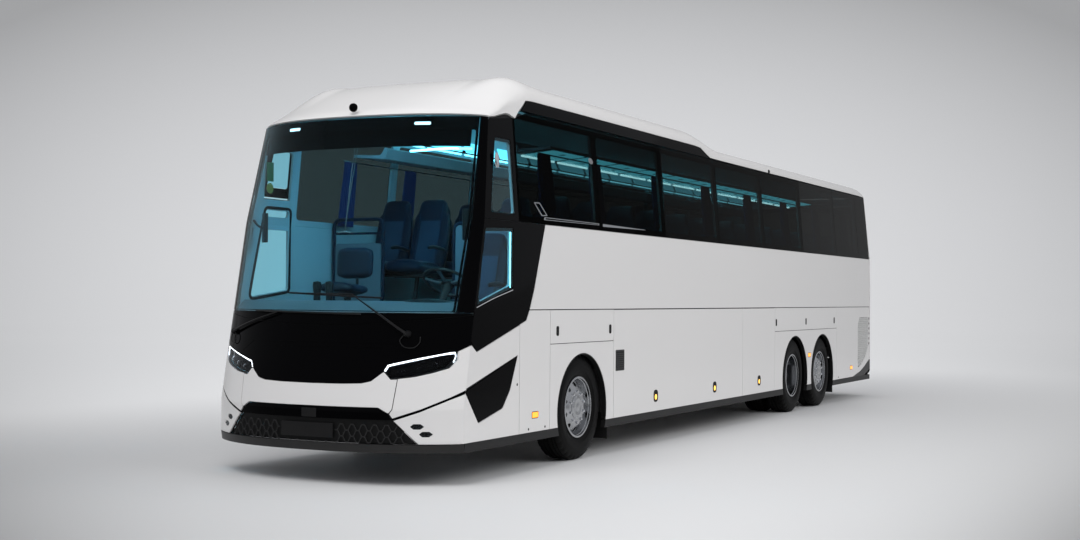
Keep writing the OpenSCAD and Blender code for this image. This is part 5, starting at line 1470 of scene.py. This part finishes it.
def loftPart(rings, flip=False):
    # a closed form through rings of points, drawn to a tip at each end
    count, rows = len(rings[0]), len(rings)
    tips = [np.mean(ring, axis=0) for ring in (rings[0], rings[-1])]
    v = np.concatenate([np.array(rings, float).reshape(-1, 3), tips])
    f = [turnedFace((i * count + k, i * count + (k + 1) % count, (i + 1) * count + (k + 1) % count,
                     (i + 1) * count + k), flip) for i in range(rows - 1) for k in range(count)]
    for row, tip, way in ((0, rows * count, flip), (rows - 1, rows * count + 1, not flip)):
        for k in range(count):
            a, b = row * count + k, row * count + (k + 1) % count
            f.append((a, b, tip) if way else (b, a, tip))
    return v, f


def prismPart(rings, flip=False):
    # a closed form through rings of points, with flat ends
    k, last = len(rings[0]), len(rings) - 1
    f = [tuple(range(k))[::-1], tuple(last * k + i for i in range(k))]
    f += [(i * k + j, i * k + (j + 1) % k, (i + 1) * k + (j + 1) % k, (i + 1) * k + j)
          for i in range(last) for j in range(k)]
    return np.array(rings, float).reshape(-1, 3), [face[::-1] if flip else face for face in f]


def slabPart(top, under, cols, flip=False):
    # two like grids of points, cols to a row, closed round their rim
    n, rows = len(top), len(top) // cols
    f = []
    for i in range(rows - 1):
        for a in range(i * cols, i * cols + cols - 1):
            quad = turnedFace((a, a + 1, a + 1 + cols, a + cols), flip)
            f += [quad, tuple(q + n for q in quad[::-1])]
    rim = (list(range(cols)) + [i * cols + cols - 1 for i in range(1, rows)]
           + [(rows - 1) * cols + k for k in range(cols - 2, -1, -1)] + [i * cols for i in range(rows - 2, 0, -1)])
    rim = turnedFace(tuple(rim), flip)
    f += [turnedFace((b, a, a + n, b + n), flip) for a, b in zip(rim, rim[1:] + rim[:1])]
    return np.vstack([top, under]), f


def superShare(angle, power):
    c, s = math.cos(angle), math.sin(angle)
    return np.sign(c) * abs(c) ** (2 / power), np.sign(s) * abs(s) ** (2 / min(power, 3.0)), s


def padPart(spine, count=30, power=3.0):
    # a closed padded form round a spine of (middle, half width, half depth, crown); crown bows the front face
    along = np.gradient(np.array([row[0] for row in spine], float), axis=0)
    along /= np.linalg.norm(along, axis=1, keepdims=True)
    rings = []
    for (middle, wide, deep, crown), t in zip(spine, along):
        front = np.array([0, -t[2], t[1]])
        front = -front if front[1] > 0 else front
        ring = []
        for k in range(count):
            across, out, s = superShare(2 * math.pi * k / count, power)
            x = wide * across
            d = deep * out + crown * (1 - (x / max(wide, 1e-6)) ** 2) * max(0, s) ** 0.5
            ring.append(np.array(middle) + [x, 0, 0] + front * d)
        rings.append(ring)
    return loftPart(rings, True)


def easedRows(rows, power):
    # shares along a pad, closer together at its ends, with how full the pad is there
    for i in range(rows):
        s = 0.5 - 0.5 * math.cos(math.pi * i / (rows - 1))
        yield s, (1 - (2 * abs(s - 0.5)) ** power) ** 0.5 if 0 < s < 1 else 0.0


def mix(pair, share):
    return pair[0] + (pair[1] - pair[0]) * share


def lumbar(s):
    return 1 + 0.18 * math.exp(-((s - 0.22) / 0.12) ** 2)


def backSpine(heights, lean, wide, deep, headAt=0.76, headWide=0.8, rows=22):
    # backrest: narrower head part above the shoulders, ends drawn in round
    out = []
    for s, end in easedRows(rows, 12):
        head = float(np.clip((s - headAt) / 0.06, 0, 1))
        w = wide * ((1 - head) + headWide * head) * (0.93 + 0.07 * math.sin(math.pi * min(1, s * 1.3)))
        d = deep * (1.0 - 0.45 * s + 0.18 * head) * lumbar(s)
        out.append(((0, mix(lean, s), mix(heights, s)), w * (0.5 + 0.5 * end), d * max(0.12, end),
                    -0.014 * (1 - head) * end))
    return out


def cushionPart(front, rear, z, wide, deep, crown=0.02, count=28, rows=16):
    rings = []
    for share, end in easedRows(rows, 8):
        w, h0 = wide * (0.6 + 0.4 * end), deep * max(0.12, end)
        dip = -0.018 * math.exp(-((share - 0.62) / 0.25) ** 2) + 0.012 * math.exp(-((share - 0.12) / 0.10) ** 2)
        ring = []
        for k in range(count):
            across, out, s = superShare(2 * math.pi * k / count, 3.4)
            x = w * across
            h = h0 * out + (crown * (1 - (x / w) ** 2) * s if s > 0 else 0)
            ring.append((x, mix((front, rear), share), z + dip + h))
        rings.append(ring)
    return loftPart(rings)


# ---- seats ----

seatLook = dict(half=0.214, gap=0.222, heights=(0.40, 1.125), lean=(-0.115, 0.048), deep=0.062, seams=(-0.128, 0.128))


def seatPads(x0, cushionHalf):
    back = padPart(backSpine(seatLook["heights"], seatLook["lean"], seatLook["half"], seatLook["deep"]))
    return [moved(part, (x0, 0, 0)) for part in (back, cushionPart(-0.612, -0.135, 0.41, cushionHalf, 0.062))]


def seatSeams(x0):
    # piped seams down the backrest
    deep = seatLook["deep"]
    return [tubePart([(x0 + dx, mix(seatLook["lean"], s) - deep * (1.0 - 0.45 * s) * 0.96, mix(seatLook["heights"], s))
                      for s in np.linspace(0.06, 0.94, 16)], 0.0035, 5) for dx in seatLook["seams"]]


def seatPanels(x0):
    # patterned middle of back and cushion, a shallow pad on each
    out, rows, cols = [], 9, 7
    for kind in ("back", "seat"):
        front, rear = [], []
        for i in range(rows):
            for k in range(cols):
                s, u = 0.10 + 0.60 * i / (rows - 1), -1 + 2 * k / (cols - 1)
                bulge = 0.006 * (1 - u ** 4) * (1 - (2 * i / (rows - 1) - 1) ** 4)
                if kind == "back":
                    x, z = x0 + 0.115 * u, mix(seatLook["heights"], s)
                    face = mix(seatLook["lean"], s) - seatLook["deep"] * (1 - 0.45 * s) * lumbar(s)
                    front.append((x, face + 0.010 - bulge, z))
                    rear.append((x, face + 0.035, z))
                else:
                    x, y = x0 + 0.125 * u, -0.59 + 0.42 * s / 0.70
                    front.append((x, y, 0.4715 + bulge * 1.4 + 0.006 * (1 - u * u)))
                    rear.append((x, y, 0.445))
        out.append(slabPart(front, rear, cols))
    return out


doublePads, doubleSeams, doublePanels, doubleFrame = [], [], [], []
shellSpine = [(np.array(m) + [0, 0.026, 0], w * 0.97, 0.016, 0.0)
              for m, w, d, c in backSpine((0.36, 1.10), (-0.10, 0.054), 0.212, 0.05)]
for x0 in (-seatLook["gap"], seatLook["gap"]):
    doublePads += seatPads(x0, 0.212)
    doubleSeams += seatSeams(x0)
    doublePanels += seatPanels(x0)
    doubleFrame.append(moved(padPart(shellSpine, count=20), (x0, 0, 0)))
for x0 in (-0.437, 0.0, 0.437):
    arm = curved([(x0, -0.10, 0.60), (x0, -0.30, 0.625), (x0, -0.43, 0.615)], 10)
    doubleFrame.append(tubePart(arm, [0.014] + [0.018] * 8 + [0.014], 8))
for x0 in (-0.25, 0.25):
    leg = curved([(x0, -0.50, 0.002), (x0, -0.40, 0.04), (x0, -0.33, 0.30), (x0, -0.33, 0.36)], 10)
    doubleFrame += [tubePart(leg, 0.022, 8), boxPart((x0 - 0.03, -0.54, 0.0), (x0 + 0.03, -0.12, 0.018))]
doubleFrame.append(boxPart((-0.43, -0.50, 0.325), (0.43, -0.14, 0.352)))

rowPlaces = [(s, 2.8 + 0.8 * i) for s in (1, -1) for i in range(14) if s > 0 or i not in (7, 8)]
shared = {}
for n, (s, y) in enumerate(rowPlaces):
    for kind, parts, look, fill in (
            ("seat", doublePads, seatLeather, 0.6), ("seams", doubleSeams, seatCloth, None),
            ("panels", doublePanels, seatPattern, 0.5), ("frame", doubleFrame, dashBlack, None)):
        name = f"{'left' if s > 0 else 'right'}_double_{kind}_{n + 1}"
        if kind not in shared:
            obj = solid(name, parts, look, angle=50)
            shared[kind] = obj.data
        else:
            obj = newObject(name, shared[kind], None)
        obj.location = (s * 0.70, back(y), 1.45)
        put(obj, "body", usualSlots[look.name], ["passenger_seats"])

# the driver's seat on its pedestal
driverScale = 0.995
atDriver = lambda parts: [moved((np.array(v) * driverScale, f), (0.68, back(1.93), 1.06)) for v, f in parts]
build("driver_seat_pads", atDriver(seatPads(0, 0.23)), seatLeather, replaces=["driver_seat"], angle=50)
build("driver_seat_panels", atDriver(seatPanels(0.0)), seatPattern, angle=50)
pedestal = smallLathe([(0.0, 0), (0.0, 0.17), (0.02, 0.175), (0.05, 0.13), (0.16, 0.12), (0.30, 0.15), (0.34, 0.18),
                       (0.345, 0)], 28, "z", (0, -0.34, 0))
armRests = [tubePart(curved([(s * 0.235, -0.10, 0.62), (s * 0.24, -0.28, 0.64), (s * 0.235, -0.42, 0.63)], 10),
                     0.022, 8) for s in (1, -1)]
build("driver_seat_frame", atDriver(seatSeams(0) + [pedestal] + armRests), dashBlack)
print("seats done")


def cabin(*points):
    # points whose y is measured from the nose
    return [(x, back(y), z) for x, y, z in points]


# the guide's folding seat beside the entrance, a round back over a small cushion
guideSpine = [(cabin((-0.44, 1.335 + 0.02 * s, 1.74 + 0.29 * s))[0],
               0.20 * (0.55 + 0.45 * math.sqrt(max(0, 1 - (2 * s - 1) ** 6))),
               0.04 * math.sqrt(max(0.02, 1 - (2 * s - 1) ** 8)), 0.0) for s in np.linspace(0, 1, 14)]
guide = [padPart(guideSpine, power=2.6),
         moved(cushionPart(-0.34, -0.01, 0.0, 0.185, 0.04, 0.014), (-0.44, back(1.34), 1.64))]
build("guide_seat_pads", guide, seatLeather, angle=50)
guidePost = smallLathe([(0, 0), (0, 0.09), (0.012, 0.09), (0.02, 0.035), (0.50, 0.035), (0.52, 0.09), (0.535, 0.09),
                        (0.535, 0)], axis="z", centre=(-0.40, back(1.17), 1.06))
guideArm = cabin((-0.44, 1.34, 1.60), (-0.44, 1.385, 1.66), (-0.44, 1.375, 1.82))
build("guide_seat_post", [guidePost, tubePart(curved(guideArm, 10), 0.014, 8)], dashBlack)


# ---- partitions and rails ----

def railLoop(x0, x1, z0, z1):
    loop = rounded(rectangle(x0, z0, x1, z1), 0.08, parts=6)
    return np.array([(p[0], back(2.066), p[1]) for p in sampled(loop, 0.06)])


def uprightAt(x, z, depth):
    return np.stack([x, back(2.056) + depth, z], -1)


crossRail = cabin(*((x, 2.066, 2.20) for x in np.linspace(-1.17, -0.615, 8)))
railParts = [tubePart(railLoop(-1.185, -0.60, 1.50, 2.34), 0.019, 10, closed=True), tubePart(crossRail, 0.012, 8),
             tubePart(railLoop(0.215, 1.16, 1.50, 2.285), 0.016, 10, closed=True)]
build("partition_rails", railParts, seatLeather, slot="black_trim", replaces=["front_partition"])
layOn("partition_panels", [roundRect(-1.165, 1.455, -0.62, 2.10, 0.04), roundRect(0.235, 1.455, 1.14, 2.265, 0.05)],
      dashGrey, uprightAt, thick=0.018, edge=0.004)


# ---- dashboard ----

def shelfPart(count=26, rows=9):
    # dashboard top: from behind the windscreen back to its inner edge, deeper on the driver's side
    zFront, zBack, top = 1.438, 1.54, []
    for x in np.linspace(-1.14, 1.14, count):
        y0 = noseSpot(x, zFront, 0.045)[1]
        y1 = max(back(0.62 + 0.33 * float(smoothStep((x + 0.35) / 0.45))), y0 + 0.03)
        for t in np.linspace(0, 1, rows):
            z = mix((zFront, zBack), t) + 0.018 * math.sin(math.pi * t)
            top.append((x, mix((y0, y1), t), z - 0.02 * (t > 0.99)))
    return slabPart(top, np.array(top) - [0, 0, 0.06], rows, True)


build("dashboard_top", [shelfPart()], dashGrey, replaces=["dashboard"], angle=60)
dashOutline = [(0.66, 1.07), (0.66, 1.41), (0.80, 1.44), (0.93, 1.42), (0.93, 1.29), (0.90, 1.07)]
dashParts = [prismPart([cabin(*((x, y, z) for y, z in dashOutline)) for x in ends])
             for ends in ((-0.245, 0.34), (1.02, 1.125))]
build("dashboard_body", dashParts, dashGrey, bevel=0.012, segments=3)
hood = [(0.68 + 0.34 * t, back(0.83) + 0.055 * t * t, 1.525 - 0.05 * t * t) for t in np.linspace(-1, 1, 15)]
build("instrument_hood", [tubePart(hood, [0.02] + [0.034] * 13 + [0.02], 12, wide=2.4, up=(0, 0, 1))], dashBlack,
      slot="cabin_grey")


def tilted(low, high, place, degrees, axis="X"):
    return moved(boxPart(low, high), cabin(place)[0], turn=Matrix.Rotation(math.radians(degrees), 4, axis))


build("instrument_cluster", [tilted((-0.30, -0.02, -0.05), (0.30, 0.0, 0.07), (0.68, 0.935, 1.475), -55)], dashBlack,
      slot="cabin_grey", bevel=0.01)
screens = [tilted((-0.13, 0.001, -0.04), (0.13, 0.006, 0.055), (0.68, 0.935, 1.475), -55),
           tilted((-0.11, -0.004, -0.065), (0.11, 0.004, 0.065), (0.22, 0.95, 1.40), -40)]
build("dashboard_screens", screens, screenGlow, bevel=0.002)
stalk = smallLathe([(0, 0), (0, 0.034), (0.01, 0.036), (0.15, 0.030), (0.18, 0.036), (0.23, 0.040), (0.26, 0.034),
                    (0.268, 0)], 20, "z")
build("ticket_stands", [moved(stalk, place) for place in cabin((-0.42, 0.72, 1.44), (-0.30, 0.74, 1.44))], dashBlack)

wheelTurn = Matrix.Rotation(math.radians(-32), 4, "X")
onWheel = lambda part: moved(part, cabin((0.68, 1.18, 1.70))[0], turn=wheelTurn)
ring = [(0.225 * math.cos(t), 0.225 * math.sin(t), 0.0) for t in np.linspace(0, 2 * math.pi, 64, endpoint=False)]
grips = [0.0148 if abs(math.sin(2 * math.atan2(p[1], p[0]))) > 0.35 else 0.0138 for p in ring]
build("steering_rim", [onWheel(tubePart(ring, grips, 12, closed=True))], leatherRim, replaces=["steering_wheel"])
spokes = []
for a in (math.radians(-20), math.radians(200), math.radians(270)):
    path = [(r * math.cos(a), r * math.sin(a), -0.016 + 0.014 * ((r - 0.05) / 0.17) ** 2)
            for r in np.linspace(0.05, 0.212, 8)]
    radii = [0.012, 0.011, 0.010, 0.009, 0.009, 0.009, 0.010, 0.011]
    spokes.append(onWheel(tubePart(path, radii, 8, wide=1.9, up=(0, 0, 1))))
build("steering_spokes", spokes, alloyDull)
hub = smallLathe([(-0.034, 0), (-0.034, 0.05), (-0.025, 0.062), (-0.008, 0.060), (0.0, 0.046), (0.002, 0.02),
                  (0.002, 0)], 32, "z")
column = smallLathe([(-0.36, 0), (-0.36, 0.034), (-0.10, 0.034), (-0.08, 0.044), (-0.03, 0.046), (-0.03, 0)], 28, "z")
build("steering_hub", [onWheel(hub), onWheel(column)], dashBlack, slot="wheel_rim_leather")
monitors = [tilted((-0.055, -0.016, -0.135), (0.055, 0.016, 0.135), place, degrees, "Z")
            for place, degrees in (((-1.075, 0.80, 2.20), -38), ((1.085, 0.83, 2.20), 38))]
monitors += [tubePart(curved(cabin((s * 1.08, 0.81, 2.19), (s * 1.13, 0.77, 2.22), (s * 1.16, 0.74, 2.27)), 8),
                      0.012, 8) for s in (1, -1)]
build("mirror_monitors", monitors, dashBlack, bevel=0.012, segments=3)
rods = [tubePart(curved(cabin((0.055 + d, 0.66, 3.02), (-0.04 + d * 0.5, 0.69, 2.60), (-0.125, 0.72, 2.15)), 12),
                 0.004, 6) for d in (-0.018, 0.018)]
rods.append(tubePart(cabin((-0.19, 0.72, 2.142), (-0.125, 0.72, 2.15), (-0.06, 0.72, 2.142)), 0.007, 8))
build("blind_pull", rods, chromeTrim)
print("driver's place done")

# ---- racks, light strips, curtains ----

rackOutline = [(0.7035, 3.064), (0.712, 3.071), (0.744, 3.079), (0.775, 3.030), (0.80, 3.004), (1.125, 3.018),
               (1.125, 2.992), (0.76, 2.962), (0.745, 2.966)]
rackParts = [prismPart([cabin(*((s * x, y, z) for x, z in rackOutline)) for y in np.linspace(2.30, 13.48, 29)], s > 0)
             for s in (1, -1)]
build("luggage_rack_shells", rackParts, cabinPale, replaces=["luggage_racks"], angle=25)

lightLook = dict(start=2.42, pitch=0.79, long=0.70, farCount=14, nearCount=11, radius=0.010)
underside = [(0.775, 2.9585), (1.10, 2.9852), (1.10, 2.9892), (0.775, 2.9625)]
rows = [lightLook["start"] + lightLook["pitch"] * i for i in range(lightLook["farCount"])]
lit = lightLook["long"]


def lightTube(x, y, z):
    return tubePart(cabin(*((x, y + t, z) for t in (0, 0.25, 0.50, lit))), lightLook["radius"], 8)


coveTurn = Matrix.Rotation(math.radians(-22), 4, "Y")
coves = [boxPart((-0.79, back(y), 3.18), (-0.802, back(y) + lit, 3.31), coveTurn) for y in rows]
panels = [prismPart([cabin(*((x, y + t, z) for x, z in underside)) for t in (0, lit)], True)
          for y in rows[:lightLook["nearCount"]]]
outletProfile = [(-0.010, 0), (-0.010, 0.032), (0.0, 0.036), (0.008, 0.036), (0.008, 0)]
outlets = [smallLathe(outletProfile, 16, "z", (s * x, back(y) + 0.35, 2.966 + (x - 0.76) * 0.08))
           for s in (1, -1) for y in rows for x in (0.86, 1.02)]
build("cabin_light_strips", [lightTube(-0.79, y, 3.16) for y in rows], cabinGlow)
build("rack_light_panels", panels, panelGlow)
build("rack_light_edges", [lightTube(0.757, y, 2.950) for y in rows[:lightLook["nearCount"]]], lineGlow)
build("ceiling_light_panels", coves, coveGlow, bevel=0.004)
build("reading_outlets", outlets, cabinGrey)
frontStrip = curved(cabin((0.10, 1.45, 2.93), (0.55, 1.30, 2.92), (0.98, 1.05, 2.88)), 12)
build("driver_light_strip", [tubePart(frontStrip, 0.012, 8)], cabinGlow)
plateGreen = dressed("plateGreen", (0.01, 0.20, 0.06), rough=0.4)
build("exit_plate", [boxPart((-1.168, back(0.935), 2.65), (-1.163, back(1.035), 2.83))], plateGreen, bevel=0.001)
disc = smallLathe([(-0.002, 0), (-0.002, 0.05), (0.002, 0.05), (0.002, 0)], 28, centre=(-1.166, back(0.985), 2.585))
build("round_plate", [disc], dressed("plateYellow", (0.42, 0.30, 0.05), rough=0.4))

curtainLook = dict(folds=7, width=0.25, count=85, rows=14, low=2.28, high=2.93, phase={1: 1, -1: 2},
                   places=(2.22, 3.36, 5.0, 6.55, 8.1, 9.65, 11.2, 12.75))


def curtain(name, side, y):
    # gathered folds that hang from a rail; the hem swings a little wider than the head
    rows, count = curtainLook["rows"], curtainLook["count"]
    t, u = np.linspace(0, 1, rows)[:, None], np.linspace(0, 1, count)[None, :]
    z = curtainLook["high"] - (curtainLook["high"] - curtainLook["low"]) * t
    spread = 0.86 + 0.16 * t + 0.05 * np.sin(3 * t)
    swing = np.sin(2 * math.pi * curtainLook["folds"] * u + 0.35 * np.sin(5 * t + curtainLook["phase"][side]))
    deep = (0.020 + 0.005 * t) * swing + 0.004 * np.sin(9 * u + 4 * t)
    p = np.stack([side * (halfWidthAt(z) - 0.115 - deep), back(y) + (u - 0.5) * curtainLook["width"] * spread,
                  z + 0 * u], -1)
    f = [(a, a + 1, a + 1 + count, a + count) for i in range(rows - 1) for a in range(i * count, (i + 1) * count - 1)]
    flat = [round(float(np.mean(np.linalg.norm(np.diff(p, axis=axis), axis=2).sum(axis))), 3) for axis in (1, 0)]
    cloth = build(name, [(p.reshape(-1, 3), f)], curtainCloth, angle=80)
    return flat


railX = float(halfWidthAt(2.93)) - 0.115
rails = [tubePart([(s * railX, y, 2.935) for y in np.linspace(-4.9, 6.3, 20)], 0.007, 8) for s in (1, -1)]
build("curtain_rails", rails, alloyDull)
sizes = [curtain(f"{'left' if s > 0 else 'right'}_curtain_{i + 1}", s, y)
         for s in (1, -1) for i, y in enumerate(curtainLook["places"])]
print("curtain cut", sizes[0])

# better finishes on the frame's own pieces that stay
keptLooks = {node: look for look, nodes in (
    (frameSteel, "chassis_frame front_door_arm mid_door_arm"), (floorVinyl, "cabin_floor front_floor middle_stair"),
    (darkTrim, "wheel_housings"), (stripGrey, "side_strips"),
    (axleIron, "engine_block front_axle_beam drive_axle tag_axle_beam knuckle_left knuckle_right tag_knuckle_left"
     " tag_knuckle_right")) for node in nodes.split()}
slotLooks = dict(body_white=paintWhite, black_gloss=glossBlack, black_trim=satinBlack, dark_glass=sideGlass,
                 clear_glass=clearGlass, alloy=alloyBright, tyre=tyreRubber, frame_steel=frameSteel, axle_iron=axleIron,
                 lamp_clear=lampClear, lamp_red=lampRed, seat_fabric=seatCloth, cabin_grey=cabinGrey,
                 floor_vinyl=floorVinyl, wheel_rim_leather=leatherRim)
for row in frame["record"]["subparts"]:
    part = frame["nodes"][row["node"]]
    for i in range(len(part.data.materials)):
        part.data.materials[i] = keptLooks.get(row["node"]) or slotLooks[row["material_slot"]]
print("interior done")


# ---- stage: floor sweep, lamps and camera ----

stageLook = dict(floorColour=(0.76, 0.76, 0.76), worldStrength=0.55, keyPower=900.0, fillPower=880.0, rimPower=60.0,
                 fall=0.22, farGlow=0.335, halfView=(0.373, 0.1865), far=(1.8, 8.0), farStretch=(1, 0.45, 1),
                 axes=[(0.8907, 0.4546, 0.0), (-0.0085, 0.0167, 0.9998), (-0.4545, 0.8906, -0.0187)])
sweepLook = dict(start=-40, flat=75, flatShare=0.6, radius=25, top=60, half=70, rows=40, cols=9, turn=27)
cameraLook = dict(place=(7.3067, -17.0007, 1.5791), around=27.038, up=-1.073, roll=0.472, lens=48.254)


def floorMaterial():
    # painted light on the floor: a painted pool of light in its colour falls off towards the view's corners, and the
    # floor far off gets a painted glow by emission though it is no lamp
    m, t, p, _ = startMaterial("stageFloor")
    maths = partial(math2, t)
    vector = lambda how, *values: node(t, "VectorMath", list(enumerate(values)), operation=how).outputs
    base = useGroup(t, mottle, Colour=rgba(stageLook["floorColour"]), Scale=0.3, Drift=0.02, Roughness=0.55,
                    Spread=0.02)
    t.links.new(base.outputs["Roughness"], p.inputs["Roughness"])
    place = node(t, "NewGeometry").outputs["Position"]
    ray = vector("SUBTRACT", place, cameraLook["place"])[0]
    across, rise, depth = (vector("DOT_PRODUCT", ray, axis)["Value"] for axis in stageLook["axes"])
    depth = maths("MAXIMUM", depth, 0.5)
    across, rise = maths("DIVIDE", across, depth), maths("DIVIDE", rise, depth)
    halfWide, halfHigh = stageLook["halfView"]
    reach = [maths("POWER", maths("ABSOLUTE", maths("DIVIDE", a, half), 0.0), 2.4)
             for a, half in ((across, halfWide), (rise, halfHigh))]
    paintedPool = maths("MULTIPLY", maths("ADD", *reach), stageLook["fall"])
    low = maths("MAXIMUM", maths("DIVIDE", maths("MAXIMUM", rise, -1.0), -halfHigh), 0.0)
    right = maths("MULTIPLY", maths("MAXIMUM", maths("DIVIDE", across, halfWide), 0.0), 0.19)
    right = maths("ADD", maths("MINIMUM", right, 0.25), 0.42)
    # painted shade, deepest in the lower corners of the view and more so on the right
    corner = maths("MULTIPLY", maths("MINIMUM", low, 1.2), maths("MINIMUM", reach[0], 1.2))
    bright = maths("MULTIPLY", maths("SUBTRACT", 1.0, maths("MINIMUM", paintedPool, 0.5)),
                   maths("SUBTRACT", 1.0, maths("MULTIPLY", corner, right)))
    # the distance counts to the sides and behind, not towards the camera
    behind = vector("MULTIPLY", vector("MAXIMUM", place, (-1000.0, 0.0, -1000.0))[0], stageLook["farStretch"])[0]
    ends = [(1, stageLook["far"][0]), (2, stageLook["far"][1]), (3, 0.0), (4, 1.0)]
    far = node(t, "MapRange", [(0, vector("LENGTH", behind)["Value"])] + ends, interpolation_type="SMOOTHSTEP")
    shade = node(t, "VectorMath", [(0, base.outputs["Colour"])], operation="SCALE")
    t.links.new(bright, shade.inputs["Scale"])
    t.links.new(shade.outputs[0], p.inputs["Base Color"])
    # painted glow: emission on the floor far off, fading in with distance
    t.links.new(maths("MULTIPLY", maths("MULTIPLY", far.outputs[0], bright), stageLook["farGlow"]),
                p.inputs["Emission Strength"])
    setPlain(p, {"Specular IOR Level": 0.1, "Emission Color": (1, 1, 1, 1)})
    return m


def makeStage():
    # pale sweep: a flat floor that curls up into a wall behind
    look, rows = sweepLook, []
    start, flat, radius, half = (look[key] for key in ("start", "flat", "radius", "half"))
    for i in range(look["rows"] + 1):
        s = i / look["rows"]
        if s < look["flatShare"]:
            rows.append((start + flat * s / look["flatShare"], 0.0))
        else:
            q = (s - look["flatShare"]) / (1 - look["flatShare"]) * math.pi / 2
            rows.append((start + flat + radius * math.sin(q), radius * (1 - math.cos(q))))
    rows.append((look["top"], look["top"]))
    turn, cols = Matrix.Rotation(math.radians(look["turn"]), 3, "Z"), look["cols"]
    verts = [tuple(turn @ Vector((x, y, z - 0.001))) for y, z in rows for x in np.linspace(-half, half, cols)]
    faces = [(a, a + 1, a + 1 + cols, a + cols)
             for i in range(len(rows) - 1) for a in range(i * cols, i * cols + cols - 1)]
    solid("stage_floor", [(verts, faces)], floorMaterial(), angle=80)


def makeLamp(name, place, target, size, power, colour=(1, 1, 1), sizeY=None):
    data = bpy.data.lights.new(name, "AREA")
    data.shape, data.size, data.size_y = "RECTANGLE", size, sizeY or size
    data.energy, data.color = power, colour
    lamp = bpy.data.objects.new(name, data)
    bpy.context.scene.collection.objects.link(lamp)
    lamp.location = place
    lamp.visible_glossy = False
    lamp.rotation_mode = "QUATERNION"
    lamp.rotation_quaternion = (Vector(target) - Vector(place)).to_track_quat("-Z", "Y")


def makeWorld():
    world = bpy.data.worlds.new("studio")
    bpy.context.scene.world = world
    world.use_nodes = True
    t = world.node_tree
    t.nodes["Background"].inputs["Color"].default_value = (0.93, 0.95, 1.0, 1)
    t.nodes["Background"].inputs["Strength"].default_value = stageLook["worldStrength"]


def makeCamera():
    look = cameraLook
    a, e, r = (math.radians(look[k]) for k in ("around", "up", "roll"))
    z = Vector((math.sin(a) * math.cos(e), -math.cos(a) * math.cos(e), math.sin(e)))
    right = (-z).cross(Vector((0, 0, 1))).normalized()
    up = right.cross(-z)
    x = right * math.cos(r) + up * math.sin(r)
    y = up * math.cos(r) - right * math.sin(r)
    data = bpy.data.cameras.new("camera")
    data.lens, data.sensor_width = look["lens"], 36
    data.clip_start, data.clip_end = 0.1, 300
    camera = bpy.data.objects.new("camera", data)
    bpy.context.scene.collection.objects.link(camera)
    camera.matrix_world = Matrix.Translation(look["place"]) @ Matrix((x, y, z)).transposed().to_4x4()
    bpy.context.scene.camera = camera


makeStage()
makeWorld()
makeCamera()
makeLamp("key", (13, -1, 9), (0, 1, 1.5), 18, stageLook["keyPower"], sizeY=7)
makeLamp("fill", (1, -13, 12), (0, -6, 1.0), 8, stageLook["fillPower"])
makeLamp("overhead", (0, 2, 12), (0, 1, 2), 14, stageLook["rimPower"], sizeY=16)
makeLamp("cabin", (0.3, -5.9, 2.95), (0.0, -4.6, 1.5), 1.0, 19.0, colour=(0.24, 0.70, 1.0), sizeY=0.4)
bpy.context.scene.view_settings.view_transform = "Standard"

print("scene ready")
